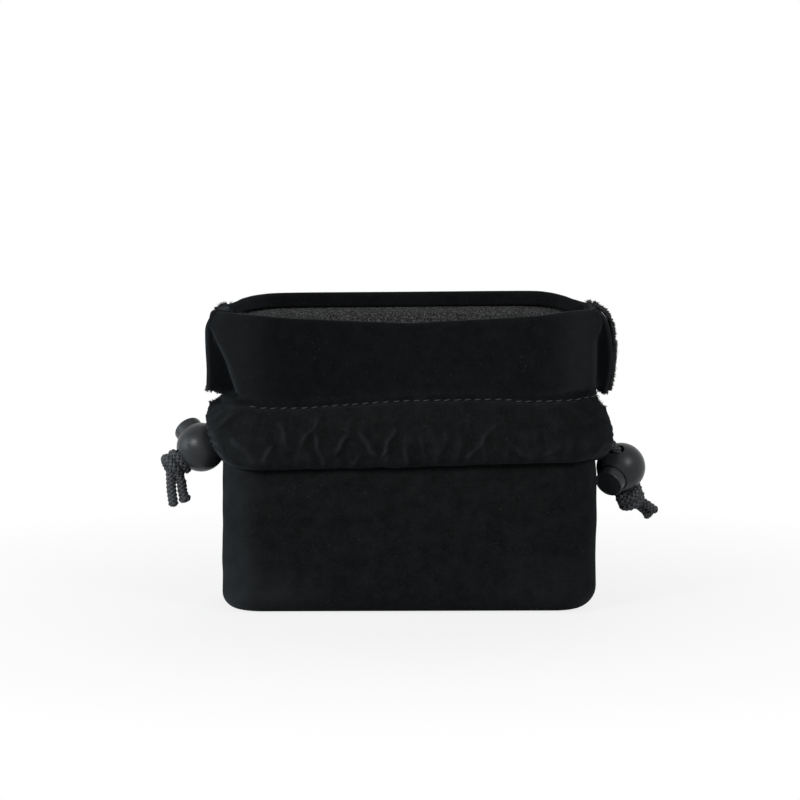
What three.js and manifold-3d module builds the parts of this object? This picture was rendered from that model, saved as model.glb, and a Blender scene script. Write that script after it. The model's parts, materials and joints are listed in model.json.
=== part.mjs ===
// Padded velvet drawstring pouch with two drawcords, each held by a ball-shaped spring cord lock.
// Millimetres, +Z up. The front faces -Y, and the origin is the middle of the base.

import * as THREE from "three";
import { mergeVertices } from "three/addons/utils/BufferGeometryUtils.js";
import Module from "manifold-3d";

const wasm = await Module();
wasm.setup();
const { lerp, smoothstep } = THREE.MathUtils;

// Fabric layers
const velvet = 1.5;
const padding = 2.8;
const clearance = 0.3; // between pieces that lie on each other

// Plan of the bag, measured on the outer face of the velvet
const bodyHalfWidth = 58.4;
const neckDraw = 1; // the sides draw in this much under the drawcord channel
const mouthFlare = 6.1; // from the neck out to the mouth
const halfDepth = 23;
const cornerWidth = 13; // of each rounded corner, along the front and back
const cornerDepth = 13;

// Heights
const bottomRoll = 8; // radius where the walls turn into the base
const taperHeight = 30; // the walls draw in from here to the neck
const foldHeight = 45.6; // lower edge of the drawcord channel
const channelHeight = 19.4; // from there to the top stitch that closes the channel
const flareRise = 7; // above the stitch, where the collar reaches its full width
const snipRise = 4; // above the stitch, of the collar's raw lower edge at the side
const frontCollarHeight = 26; // above the stitch, up to the rim
const sideCollarHeight = 28.2;
const backCollarHeight = 30;
const liningDrop = 4; // from the rim down to the top edge of the lining

// Drawcord channel and the thread above it
const channelBulge = 5.6; // how far the channel stands proud of the wall
const lowerFullness = 0.55; // below 1, the lower half hangs fuller than a half round
const exitHalfWidth = 8; // half the opening at the side, where the cords come out
const endLift = 2.4; // how far the fold rises towards that opening
const threadRadius = 0.35;
const threadSides = 6;
const threadLift = 1; // of the thread above the channel

// Drawcords: the left one runs below the right one in the channel
const cordRadius = 1.5;
const cordLie = 0.4; // of both cords from the wall, inside the channel
const cordSpread = 3; // of each cord from the middle of the channel
const cordSides = 8;

// Spring cord locks. Heights in a lock count along its button, from the ball's centre.
const ballRadius = 7.7;
const ballSides = 24;
const buttonRadius = 4.5;
const buttonFace = 9.3;
const buttonChamfer = 0.5;
const buttonTravel = 2.4;
const buttonFloor = 1.3; // thickness of the button below its slot
const runningGap = 0.2; // between the button, the ball and the strands
const pocketDepth = 1.2;
const springRadius = 2.5;
const springPlay = 0.6; // round the spring in its pocket
const wireRadius = 0.22;
const wireSides = 5;
const springTurns = 3;
const strandHeight = 0.6; // of the strands where they pass through
const knotHalfLength = 3.1; // along the cord
const knotHalfWidth = 4.2; // across it
const knotWrapRadius = 1.5;

// standoff is from the neck of the bag to the ball, depth is along Y, and rise is above the fold.
// strandReach is how far the front and back strands go past the ball's centre, into the bag.
// The tails are routes from the middle of the knot.
const locks = [
  {
    side: "left",
    standoff: 0.2,
    depth: 1,
    rise: 3.4,
    buttonAxis: [-0.49, 0.67, 0.56],
    cordAxis: [-0.84, -0.19, -0.51],
    strandReach: [8.6, 8.6],
    longTail: [[-0.5, -0.6, -4.0], [-0.4, -0.9, -8.1], [0.3, -1.2, -12.8]],
    shortTail: [[3.0, -0.2, -4.9], [3.3, -0.5, -8.3], [3.6, -0.9, -12.1]],
  },
  {
    side: "right",
    standoff: 1.4,
    depth: 0,
    rise: -2.8,
    buttonAxis: [-0.45, -0.755, -0.476],
    cordAxis: [0.3, 0.36, -0.88],
    strandReach: [11.5, 13.5],
    longTail: [[5.1, 0.2, -0.8], [7.0, 0, -1.5], [9.4, -0.4, -2.6]],
    shortTail: [[3.0, 0.7, -3.6], [4.7, 0.7, -5.0], [6.7, 0.6, -6.6]],
  },
];

// Materials
const velvetFinish = { color: 0x101114, roughness: 0.95, metalness: 0 };
const liningFinish = { color: 0x4c4f50, roughness: 1, metalness: 0 };
const threadFinish = { color: 0x77797a, roughness: 0.8, metalness: 0 };
const cordFinish = { color: 0x35383a, roughness: 0.8, metalness: 0 };
const plasticFinish = { color: 0x2c2e31, roughness: 0.4, metalness: 0 };
const steelFinish = { color: 0xa9acb0, roughness: 0.3, metalness: 1 };

// Places that follow from the sizes above. Offsets count outwards from the face of the velvet.
const neckHalfWidth = bodyHalfWidth - neckDraw;
const mouthHalfWidth = neckHalfWidth + mouthFlare;
const panelHalfWidth = bodyHalfWidth - cornerWidth;
const stitchHeight = foldHeight + channelHeight;
const frontRim = stitchHeight + frontCollarHeight;
const sideRim = stitchHeight + sideCollarHeight;
const backRim = stitchHeight + backCollarHeight;
const wallTop = foldHeight - clearance;
const channelMiddle = (foldHeight + stitchHeight) / 2;
const flareHeight = stitchHeight + flareRise;
const liningOffset = -(velvet + clearance);
const cordOffset = cordLie + cordRadius;
const crossingOffset = liningOffset + clearance + cordRadius; // at the other side's opening

const strandSpacing = 2 * cordRadius + clearance;
const passageHalfWidth = strandSpacing / 2 + cordRadius + clearance;
const passageReach = cordRadius + clearance;
const slotBottom = strandHeight - cordRadius - runningGap;
const slotTop = strandHeight + cordRadius + runningGap + buttonTravel;
const buttonFoot = slotBottom - buttonFloor;
const boreRadius = buttonRadius + runningGap;
const boreFloor = buttonFoot - buttonTravel - runningGap;
const pocketRadius = springRadius + wireRadius + springPlay;
const pocketFloor = boreFloor - pocketDepth;
const knotPlace = ballRadius + clearance + Math.max(knotHalfLength, knotWrapRadius);

function halfWidthAt(height) {
  const narrowing = smoothstep(height, taperHeight, foldHeight);
  const flaring = smoothstep(height, stitchHeight, flareHeight);
  const neck = lerp(bodyHalfWidth, neckHalfWidth, narrowing);
  return lerp(neck, mouthHalfWidth, flaring);
}

// A station is a place on the plan outline with its outward direction, for a given half width.
const onFront = (x) => () => ({ x, y: -halfDepth, outX: 0, outY: -1 });
const onSide = (y) => (halfWidth) => ({ x: halfWidth, y, outX: 1, outY: 0 });
const onCorner = (angle) => (halfWidth) => {
  const turnWidth = halfWidth - panelHalfWidth;
  const out = new THREE.Vector2(Math.cos(angle) / turnWidth, -Math.sin(angle) / cornerDepth).normalize();
  return {
    x: panelHalfWidth + turnWidth * Math.cos(angle),
    y: cornerDepth - halfDepth - cornerDepth * Math.sin(angle),
    outX: out.x,
    outY: out.y,
  };
};
const flipX = (station) => (halfWidth) => {
  const { x, y, outX, outY } = station(halfWidth);
  return { x: -x, y, outX: -outX, outY };
};
const flipY = (station) => (halfWidth) => {
  const { x, y, outX, outY } = station(halfWidth);
  return { x, y: -y, outX, outY: -outY };
};

const cornerSteps = 6;
const cornerWalk = Array.from({ length: cornerSteps + 1 }, (_, i) =>
  onCorner((Math.PI / 2) * (1 - i / cornerSteps)),
);
const mirrorWalk = (walk) => walk.map(flipX).reverse();

// A closed, outward-facing geometry from its corners and triangles.
function closedGeometry(corners, triangles) {
  const [a, b, c] = [new THREE.Vector3(), new THREE.Vector3(), new THREE.Vector3()];
  const sixVolumes = triangles.reduce((sum, [i, j, k]) => {
    a.fromArray(corners[i]);
    b.fromArray(corners[j]);
    c.fromArray(corners[k]);
    return sum + a.dot(b.cross(c));
  }, 0);
  const facing = sixVolumes < 0 ? triangles.map(([i, j, k]) => [i, k, j]) : triangles;
  const geometry = new THREE.BufferGeometry();
  geometry.setAttribute("position", new THREE.Float32BufferAttribute(corners.flat(), 3));
  geometry.setIndex(facing.flat());
  geometry.computeVertexNormals();
  return geometry;
}

// Sweeps a section along stations. sectionAt and hollowAt give closed loops of [outward, height]
// points for a station; a hollow has as many points as its section and is open at both ends.
function sweep(stations, sectionAt, hollowAt) {
  const corners = [];
  const triangles = [];
  const quad = (a, b, c, d) => triangles.push([a, b, c], [a, c, d]);
  const addRings = (loopAt) =>
    stations.map((station) => {
      const first = corners.length;
      const loop = loopAt(station);
      loop.forEach(([outward, height]) => {
        const { x, y, outX, outY } = station(halfWidthAt(height));
        corners.push([x + outward * outX, y + outward * outY, height]);
      });
      return loop.map((_, i) => first + i);
    });
  const addSkin = (rings, inward) =>
    rings.slice(1).forEach((ring, i) =>
      ring.forEach((_, j) => {
        const next = (j + 1) % ring.length;
        const [a, b, c, d] = [rings[i][next], rings[i][j], ring[j], ring[next]];
        if (inward) quad(d, c, b, a);
        else quad(a, b, c, d);
      }),
    );
  const outer = addRings(sectionAt);
  addSkin(outer, false);
  const ends = [0, stations.length - 1];
  if (hollowAt) {
    const inner = addRings(hollowAt);
    addSkin(inner, true);
    ends.forEach((end) =>
      outer[end].forEach((corner, j) => {
        const next = (j + 1) % outer[end].length;
        const loop = [corner, outer[end][next], inner[end][next], inner[end][j]];
        quad(...(end === 0 ? loop : loop.reverse()));
      }),
    );
  } else {
    ends.forEach((end) => {
      const loop = sectionAt(stations[end]).map(([outward, height]) => new THREE.Vector2(outward, height));
      const turned = THREE.ShapeUtils.isClockWise(loop) === (end === 0);
      THREE.ShapeUtils.triangulateShape(loop, []).forEach(([i, j, k]) => {
        const face = [outer[end][i], outer[end][j], outer[end][k]];
        triangles.push(turned ? face.reverse() : face);
      });
    });
  }
  return closedGeometry(corners, triangles);
}

// A closed geometry as a solid that can be joined or cut, and back again
function toSolid(geometry) {
  const bare = geometry.clone().deleteAttribute("normal").deleteAttribute("uv");
  const merged = mergeVertices(bare);
  return new wasm.Manifold(
    new wasm.Mesh({
      numProp: 3,
      vertProperties: merged.attributes.position.array,
      triVerts: new Uint32Array(merged.index.array),
    }),
  );
}

function fromSolid(solid) {
  const mesh = solid.getMesh();
  const geometry = new THREE.BufferGeometry();
  geometry.setAttribute("position", new THREE.BufferAttribute(mesh.vertProperties, 3));
  geometry.setIndex(new THREE.BufferAttribute(mesh.triVerts, 1));
  geometry.computeVertexNormals();
  return geometry;
}

const root = new THREE.Group();

function add(group, name, geometry, finish) {
  const mesh = new THREE.Mesh(geometry, new THREE.MeshStandardMaterial(finish));
  mesh.name = name;
  group.add(mesh);
}

function subgroup() {
  const group = new THREE.Group();
  root.add(group);
  return group;
}

// A wall of the lower body: upright, then rolled under at the base. offset is its outer face.
function rolledWall(offset, thickness) {
  const rollSteps = 5;
  const heights = [wallTop, (wallTop + taperHeight) / 2, taperHeight, bottomRoll];
  const face = (depth) => {
    const radius = bottomRoll - depth;
    const roll = Array.from({ length: rollSteps }, (_, i) => {
      const angle = ((i + 1) / rollSteps) * (Math.PI / 2);
      return [radius * Math.cos(angle) - bottomRoll, bottomRoll - radius * Math.sin(angle)];
    });
    return [...heights.map((height) => [-depth, height]), ...roll];
  };
  const outerFace = face(-offset);
  const innerFace = face(-offset + thickness);
  return [...outerFace, ...innerFace.reverse()];
}

// A flat layer of the base, inside the rolled walls
function basePlate(bottom, thickness) {
  const inset = bottomRoll + clearance;
  const quarter = cornerWalk.map((station) => station(bodyHalfWidth));
  const corners = quarter.map(({ x, y, outX, outY }) => [x - inset * outX, y - inset * outY]);
  const frontEdge = [...corners.map(([x, y]) => [-x, y]).reverse(), ...corners];
  const outline = [...frontEdge, ...frontEdge.map(([x, y]) => [-x, -y])];
  const shape = new THREE.Shape(outline.map(([x, y]) => new THREE.Vector2(x, y)));
  const geometry = new THREE.ExtrudeGeometry(shape, { depth: thickness, bevelEnabled: false });
  return geometry.translate(0, 0, bottom);
}

function addLowerBody() {
  const group = subgroup();
  const quarter = [...cornerWalk, onSide(-clearance / 2)];
  const frontWalk = [...mirrorWalk(quarter), ...quarter];
  const walks = { front: frontWalk, back: frontWalk.map(flipY) };
  for (const [face, walk] of Object.entries(walks)) {
    add(group, `${face}_shell`, sweep(walk, () => rolledWall(0, velvet)), velvetFinish);
    add(group, `${face}_lining`, sweep(walk, () => rolledWall(liningOffset, padding)), liningFinish);
  }
  add(group, "base_panel", basePlate(0, velvet), velvetFinish);
  add(group, "base_pad", basePlate(velvet + clearance, padding), liningFinish);
}

// The half-round section of the channel, from the fold up to the stitch
const channelSteps = 10;
function channelArc(bulge, bottom, top) {
  const middle = (bottom + top) / 2;
  return Array.from({ length: channelSteps + 1 }, (_, i) => {
    const angle = (i / channelSteps - 0.5) * Math.PI;
    const fullness = angle < 0 ? lowerFullness : 1;
    const outward = i % channelSteps ? bulge * Math.cos(angle) ** fullness : 0;
    return [outward, middle + ((top - bottom) / 2) * Math.sin(angle)];
  });
}

// The channel is the wall behind, from the fold to the stitch, and the fabric that bulges before it.
const channelSection = (lift) => [
  [-velvet, foldHeight],
  ...channelArc(channelBulge, foldHeight + lift, stitchHeight),
  [-velvet, stitchHeight],
];
const channelHollow = (lift) => {
  const bottom = foldHeight + velvet + lift;
  const top = stitchHeight - velvet;
  return [
    [0, lerp(bottom, top, 1 / 3)],
    ...channelArc(channelBulge - velvet, bottom, top),
    [0, lerp(bottom, top, 2 / 3)],
  ];
};

function flatWall(offset, thickness, bottom, top) {
  return [
    [offset, bottom],
    [offset, top],
    [offset - thickness, top],
    [offset - thickness, bottom],
  ];
}

// The front and back of the mouth, which lean in together when the cords are drawn
function addMouthHalf(face, rim) {
  const group = subgroup();
  const edge = panelHalfWidth - clearance;
  const stops = [-1, -0.5, 0, 0.5, 1];
  const half = (walk) => (face === "front" ? walk : walk.map(flipY));
  const straightWalk = half([onFront(-edge), onFront(edge)]);
  const curvedWalk = half(stops.map((share) => onFront(share * edge)));
  const rimAt = (station) => lerp(rim, sideRim, (station(0).x / panelHalfWidth) ** 2);
  const channel = sweep(
    straightWalk,
    () => channelSection(0),
    () => channelHollow(0),
  );
  const collar = sweep(curvedWalk, (station) =>
    flatWall(0, velvet, stitchHeight + clearance, rimAt(station)),
  );
  const lining = sweep(curvedWalk, (station) =>
    flatWall(liningOffset, padding, foldHeight, rimAt(station) - liningDrop),
  );
  const thread = sweep(straightWalk, () =>
    circle(clearance + threadRadius, stitchHeight + threadLift, threadRadius, threadSides),
  );
  add(group, `${face}_channel`, channel, velvetFinish);
  add(group, `${face}_collar`, collar, velvetFinish);
  add(group, `${face}_upper_lining`, lining, liningFinish);
  add(group, `${face}_topstitch`, thread, threadFinish);
}

function circle(outward, height, radius, sides) {
  return Array.from({ length: sides }, (_, i) => {
    const angle = ((i + 0.5) / sides) * 2 * Math.PI;
    return [outward + radius * Math.cos(angle), height + radius * Math.sin(angle)];
  });
}

// The sides of the mouth stay up between the front and the back.
function addMouthSide(side) {
  const group = subgroup();
  const onThisSide = (walk) => (side === "right" ? walk : mirrorWalk(walk));
  const sideReach = halfDepth - cornerDepth;
  const backCorner = cornerWalk.map(flipY).reverse();
  const wholeWalk = [...cornerWalk, onSide(0), ...backCorner];
  const depthOf = (station) => Math.abs(station(mouthHalfWidth).y);
  const snipAt = (station) => {
    const nearness = smoothstep(-depthOf(station), -(halfDepth + sideReach) / 2, -sideReach);
    return stitchHeight + lerp(clearance, snipRise, nearness);
  };
  const heightSteps = 4;
  // A wall that follows the flare of the collar, in several steps of height
  const flaredWall = (offset, thickness, bottom, top) => {
    const heights = Array.from({ length: heightSteps + 1 }, (_, i) =>
      i < heightSteps ? lerp(bottom, flareHeight, i / (heightSteps - 1)) : top,
    );
    const outerFace = heights.map((height) => [offset, height]);
    const innerFace = heights.map((height) => [offset - thickness, height]).reverse();
    return [...outerFace, ...innerFace];
  };
  const collar = sweep(onThisSide(wholeWalk), (station) => flaredWall(0, velvet, snipAt(station), sideRim));
  const lining = sweep(onThisSide(wholeWalk), () => {
    const upper = flaredWall(liningOffset, padding, stitchHeight, sideRim - liningDrop);
    return [[liningOffset, foldHeight], ...upper, [liningOffset - padding, foldHeight]];
  });
  add(group, `${side}_collar`, collar, velvetFinish);
  add(group, `${side}_upper_lining`, lining, liningFinish);

  const endWalk = [...cornerWalk, onSide(-exitHalfWidth)];
  const liftAt = (station) =>
    endLift * smoothstep(-depthOf(station), -halfDepth, -exitHalfWidth);
  for (const face of ["front", "back"]) {
    const walk = onThisSide(face === "front" ? endWalk : endWalk.map(flipY));
    const channelEnd = sweep(
      walk,
      (station) => channelSection(liftAt(station)),
      (station) => channelHollow(liftAt(station)),
    );
    add(group, `${side}_channel_${face}`, channelEnd, velvetFinish);
  }
}

// A drawcord goes in at its own side's opening, all round the channel, past the other side's
// opening, and out again where it went in. frontEnd and backEnd are [y, offset, rise] points of
// its ends, on its own side, in order from the channel to the lock.
function drawcord(side, height, frontEnd, backEnd) {
  const plain = (station) => ({ station, offset: cordOffset, height });
  const crossing = [
    plain(onSide(-exitHalfWidth)),
    { station: onSide(-exitHalfWidth / 2), offset: crossingOffset, height },
    { station: onSide(exitHalfWidth / 2), offset: crossingOffset, height },
    plain(onSide(exitHalfWidth)),
  ];
  const ending = ([y, offset, rise]) => ({
    station: flipX(onSide(y)),
    offset,
    height: height + rise,
  });
  const backCorner = cornerWalk.map(flipY).reverse();
  const route = [
    ...frontEnd.map(ending).reverse(),
    plain(flipX(onSide(-exitHalfWidth))),
    ...mirrorWalk(cornerWalk).map(plain),
    ...cornerWalk.map(plain),
    ...crossing,
    ...backCorner.map(plain),
    ...mirrorWalk(backCorner).map(plain),
    plain(flipX(onSide(exitHalfWidth))),
    ...backEnd.map(ending),
  ];
  const walk = route.map(({ station }) => (side === "left" ? station : flipX(station)));
  const sections = new Map(
    route.map((stop, i) => [walk[i], circle(stop.offset, stop.height, cordRadius, cordSides)]),
  );
  return sweep(walk, (station) => sections.get(station));
}

function addDrawcords() {
  const group = subgroup();
  const leftFrontEnd = [[-5, 1.6, 1.1], [-2.2, 1.2, 2.9]];
  const leftBackEnd = [[6.6, 0.7, 0.6]];
  const rightFrontEnd = [[-6.2, 3.4, -0.7]];
  const rightBackEnd = [[2, 1.9, 0], [-1.6, 2.6, -0.7]];
  const leftHeight = channelMiddle - cordSpread;
  const rightHeight = channelMiddle + cordSpread;
  const leftCord = drawcord("left", leftHeight, leftFrontEnd, leftBackEnd);
  const rightCord = drawcord("right", rightHeight, rightFrontEnd, rightBackEnd);
  add(group, "left_drawcord", leftCord, cordFinish);
  add(group, "right_drawcord", rightCord, cordFinish);
}

function lathe(profile, segments) {
  const points = profile.map(([radius, height]) => new THREE.Vector2(radius, height));
  return new THREE.LatheGeometry(points, segments).rotateX(Math.PI / 2);
}

// A bar with rounded edges through a lock, along its cord axis
function cordBar(halfWidth, bottom, top) {
  const radius = Math.min(halfWidth, (top - bottom) / 2, passageReach);
  const shape = new THREE.Shape();
  shape.absarc(halfWidth - radius, bottom + radius, radius, -Math.PI / 2, 0);
  shape.absarc(halfWidth - radius, top - radius, radius, 0, Math.PI / 2);
  shape.absarc(radius - halfWidth, top - radius, radius, Math.PI / 2, Math.PI);
  shape.absarc(radius - halfWidth, bottom + radius, radius, Math.PI, 1.5 * Math.PI);
  const length = 3 * ballRadius;
  const bar = new THREE.ExtrudeGeometry(shape, { depth: length, bevelEnabled: false, curveSegments: 4 });
  bar.translate(0, 0, -length / 2);
  // The bar's length goes to the lock's X, its width to Y and its height to Z.
  bar.applyMatrix4(
    new THREE.Matrix4().makeBasis(
      new THREE.Vector3(0, 1, 0),
      new THREE.Vector3(0, 0, 1),
      new THREE.Vector3(1, 0, 0),
    ),
  );
  return toSolid(bar);
}

function ballGeometry() {
  const ballSteps = 13;
  const rimAngle = Math.acos(boreRadius / ballRadius);
  const skin = Array.from({ length: ballSteps + 1 }, (_, i) => {
    const angle = lerp(-Math.PI / 2, rimAngle, i / ballSteps);
    return [i ? ballRadius * Math.cos(angle) : 0, ballRadius * Math.sin(angle)];
  });
  const bore = [
    [boreRadius, boreFloor],
    [pocketRadius, boreFloor],
    [pocketRadius, pocketFloor],
    [0, pocketFloor],
  ];
  const passage = cordBar(passageHalfWidth, strandHeight - passageReach, strandHeight + passageReach);
  return fromSolid(toSolid(lathe([...skin, ...bore], ballSides)).subtract(passage));
}

function buttonGeometry() {
  const profile = [
    [0, buttonFoot],
    [buttonRadius, buttonFoot],
    [buttonRadius, buttonFace - buttonChamfer],
    [buttonRadius - buttonChamfer, buttonFace],
    [0, buttonFace],
  ];
  const slot = cordBar(passageHalfWidth, slotBottom, slotTop);
  return fromSolid(toSolid(lathe(profile, ballSides)).subtract(slot));
}

// Sits between the floor of the pocket and the foot of the button
class SpringCurve extends THREE.Curve {
  getPoint(share) {
    const angle = share * springTurns * 2 * Math.PI;
    const bottom = pocketFloor + clearance + wireRadius;
    const top = buttonFoot - clearance - wireRadius;
    return new THREE.Vector3(
      springRadius * Math.cos(angle),
      springRadius * Math.sin(angle),
      lerp(bottom, top, share),
    );
  }
}

function tube(curve, radius, sides, steps) {
  const shape = new THREE.Shape(
    Array.from({ length: sides }, (_, i) => {
      const angle = (i / sides) * 2 * Math.PI;
      return new THREE.Vector2(radius * Math.cos(angle), radius * Math.sin(angle));
    }),
  );
  return new THREE.ExtrudeGeometry(shape, { steps, extrudePath: curve, bevelEnabled: false });
}

// An overhand knot in both strands, seated on the ball: a core with one turn wrapped round it
function knotGeometry() {
  const coreSides = 16;
  const coreSteps = 10;
  const wrapSteps = 18;
  const core = new THREE.SphereGeometry(1, coreSides, coreSteps);
  core.scale(knotHalfLength, knotHalfWidth, knotHalfWidth);
  const wrapReach = knotHalfWidth - knotWrapRadius + cordRadius / 2;
  const wrap = new THREE.TorusGeometry(wrapReach, knotWrapRadius, cordSides, wrapSteps);
  wrap.rotateY(Math.PI / 2);
  return fromSolid(toSolid(core).add(toSolid(wrap)));
}

function addLock({ side, standoff, depth, rise, buttonAxis, cordAxis, strandReach, longTail, shortTail }) {
  const group = subgroup();
  const button = new THREE.Vector3(...buttonAxis).normalize();
  const cord = new THREE.Vector3(...cordAxis).projectOnPlane(button).normalize();
  const across = new THREE.Vector3().crossVectors(button, cord);
  const outward = side === "left" ? -1 : 1;
  group.position.set(outward * (neckHalfWidth + standoff + ballRadius), depth, foldHeight + rise);
  group.setRotationFromMatrix(new THREE.Matrix4().makeBasis(cord, across, button));

  add(group, `${side}_lock_ball`, ballGeometry(), plasticFinish);
  add(group, `${side}_lock_button`, buttonGeometry(), plasticFinish);
  const curlSteps = 8;
  const spring = tube(new SpringCurve(), wireRadius, wireSides, springTurns * curlSteps);
  add(group, `${side}_lock_spring`, spring, steelFinish);
  const knot = knotGeometry().translate(knotPlace, 0, strandHeight);
  add(group, `${side}_knot`, knot, cordFinish);

  const towardsFront = across.y < 0 ? 1 : -1;
  const strandOffsets = { front: towardsFront, back: -towardsFront };
  Object.entries(strandOffsets).forEach(([face, sign], i) => {
    const length = ballRadius + strandReach[i];
    const strand = new THREE.CylinderGeometry(cordRadius, cordRadius, length, cordSides);
    const offset = (sign * strandSpacing) / 2;
    strand.rotateZ(Math.PI / 2).translate(ballRadius - length / 2, offset, strandHeight);
    add(group, `${side}_strand_${face}`, strand, cordFinish);
  });

  const tailSteps = 4;
  const tails = subgroup();
  group.updateMatrix();
  tails.position.set(knotPlace, 0, strandHeight).applyMatrix4(group.matrix);
  for (const [length, points] of Object.entries({ long: longTail, short: shortTail })) {
    const route = new THREE.CatmullRomCurve3(points.map((point) => new THREE.Vector3(...point)));
    add(tails, `${side}_tail_${length}`, tube(route, cordRadius, cordSides, tailSteps), cordFinish);
  }
}

addLowerBody();
addMouthHalf("front", frontRim);
addMouthHalf("back", backRim);
addMouthSide("left");
addMouthSide("right");
addDrawcords();
locks.forEach(addLock);

export default root;
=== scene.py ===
# The drawstring pouch in its finished looks: velvet, lining, stitches, braided cords and cord locks.
# Sizes and places are in millimetres, and turn into metres when a mesh is made.
# The front faces -Y. A quarter runs from the middle of the front or back to the middle of a side,
# and a share of it goes from 0 there to 1 at the side. Shares below 0 are on the left side.

import json
import math
import random

import bmesh
import bpy
import numpy as np
from mathutils import Matrix, Vector, noise


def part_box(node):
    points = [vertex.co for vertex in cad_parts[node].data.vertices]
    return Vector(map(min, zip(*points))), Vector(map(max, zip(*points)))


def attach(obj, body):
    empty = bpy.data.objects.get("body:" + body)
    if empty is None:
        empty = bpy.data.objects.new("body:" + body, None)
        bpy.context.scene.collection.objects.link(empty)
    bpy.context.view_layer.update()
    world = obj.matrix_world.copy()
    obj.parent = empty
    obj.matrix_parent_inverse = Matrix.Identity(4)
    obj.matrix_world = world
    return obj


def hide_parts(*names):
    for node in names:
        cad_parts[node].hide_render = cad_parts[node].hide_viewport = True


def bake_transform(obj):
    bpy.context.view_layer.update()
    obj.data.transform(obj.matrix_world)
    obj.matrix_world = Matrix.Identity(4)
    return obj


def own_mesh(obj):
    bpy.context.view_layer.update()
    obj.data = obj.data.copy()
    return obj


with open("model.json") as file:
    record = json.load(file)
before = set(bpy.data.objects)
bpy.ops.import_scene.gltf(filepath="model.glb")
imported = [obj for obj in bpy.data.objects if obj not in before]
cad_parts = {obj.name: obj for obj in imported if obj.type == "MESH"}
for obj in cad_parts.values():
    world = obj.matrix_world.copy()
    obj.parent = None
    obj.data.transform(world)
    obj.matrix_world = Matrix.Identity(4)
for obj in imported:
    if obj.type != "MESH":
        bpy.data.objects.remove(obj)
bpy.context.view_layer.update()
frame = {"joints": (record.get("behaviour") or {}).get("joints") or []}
bpy.ops.object.select_all(action="DESELECT")

MM = 0.001


def box_mm(node):
    low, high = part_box(node)
    return Vector(low) / MM, Vector(high) / MM


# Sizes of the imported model
BODY_HALF_WIDTH = box_mm("front_shell")[1].x
HALF_DEPTH = -box_mm("front_shell")[0].y
FOLD = box_mm("front_channel")[0].z
STITCH = box_mm("front_channel")[1].z
BULGE = -box_mm("front_channel")[0].y - HALF_DEPTH
NECK_HALF_WIDTH = box_mm("right_channel_front")[1].x - BULGE
MOUTH_HALF_WIDTH = box_mm("right_collar")[1].x
SIDE_RIM = box_mm("left_collar")[1].z
PAD_TOP = box_mm("base_pad")[1].z

# Plan and heights of the bag
CORNER = 13.0
TAPER = 30.0
FLARE = STITCH + 7.0
PANEL = BODY_HALF_WIDTH - CORNER
BASE_ROLL = 6.2
GROUND = 0.02
BODY_CLOTH = 1.5
UPPER_CLOTH = 1.0
LOWER_PADDING = 2.6
LINING_ROLL = 4.0
LINING_OUTER = 1.4
LINING_INNER = 4.6

# Snip at the side between collar and channel, and the channel's open end, as shares of a quarter
SNIP = 0.83
CHANNEL_END = 0.893
QUARTER_LENGTH = 75.0
STRIP_BOTTOM = 68.3
STRIP_HALF_WIDTH = 63.3
RIM_ROLL = 1.4
RIM_BAND = 3.0
CURL_RADIUS = 7.0

# Cord locks
BALL_RADIUS = 7.7
BUTTON_RADIUS = 4.5
BUTTON_FACE = 9.3
BUTTON_FOOT = -2.4
BORE_RADIUS = 4.7
BORE_FLOOR = -5.0
POCKET_RADIUS = 3.32
POCKET_FLOOR = -6.2
SPRING_RADIUS = 2.5
WIRE_RADIUS = 0.22
STRAND_HEIGHT = 0.6
STRAND_SPREAD = 1.4
PASSAGE_HALF_WIDTH = 3.45
PASSAGE_REACH = 1.8
PASSAGE_FLARE = 0.35
SLOT_BOTTOM = -1.1
SLOT_TOP = 4.7
GATE_TOWARDS = Vector((3.41, 6.61, -2.0))
GATE_RADIUS = 0.62
GATE_LIFT = 0.35
KNOT_PLACE = 11.1

# Cords
BRAID_PITCH = 5.2
BRAID_RADIUS = 1.03
BRAID_WEAVE = 0.22
CORE_RADIUS = 0.8
YARN_WIDTH = 1.1
YARN_THICKNESS = 0.8

# Distances from the cord's centre at which a yarn is hidden under the others and painted in full shade, and
# lies on top and is painted unshaded
YARN_HIDDEN = 1.0
YARN_ON_TOP = 1.62

# How far outside the bag's plan the cord's centre lies in the channel
CORD_LIE = 1.9


# Numbers and lines
def lerp(start, end, share):
    return start + (end - start) * share


def smooth(value, start, end):
    share = np.clip((np.asarray(value, float) - start) / (end - start), 0, 1)
    return share * share * (3 - 2 * share)


def smooth_line(stops, steps=10):
    """A dense line of points through the stops, with no overshoot between near and far ones."""
    stops = np.asarray(stops, float)
    spans = np.linalg.norm(np.diff(stops, axis=0), axis=1)
    slopes = np.empty_like(stops)
    slopes[1:-1] = (stops[2:] - stops[:-2]) / (spans[1:] + spans[:-1])[:, None]
    slopes[0] = (stops[1] - stops[0]) / spans[0]
    slopes[-1] = (stops[-1] - stops[-2]) / spans[-1]
    t = np.linspace(0, 1, steps, endpoint=False)[:, None]
    pieces = [
        (2 * t**3 - 3 * t**2 + 1) * stops[i]
        + (t**3 - 2 * t**2 + t) * spans[i] * slopes[i]
        + (3 * t**2 - 2 * t**3) * stops[i + 1]
        + (t**3 - t**2) * spans[i] * slopes[i + 1]
        for i in range(len(spans))
    ]
    return np.concatenate([*pieces, stops[-1:]])


def lengths_along(line):
    """Distance from the start of a line to each of its points."""
    steps = np.linalg.norm(np.diff(line, axis=0), axis=1)
    return np.concatenate([[0], np.cumsum(steps)])


def place_at(line, lengths, distance):
    """The place on a line at a distance from its start, in the measure that lengths are given in."""
    return np.array([np.interp(distance, lengths, line[:, k]) for k in range(line.shape[1])])


def follow(line, shares):
    """Places along a line, at shares of its length."""
    lengths = lengths_along(line)
    return place_at(line, lengths / lengths[-1], shares).T


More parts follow.
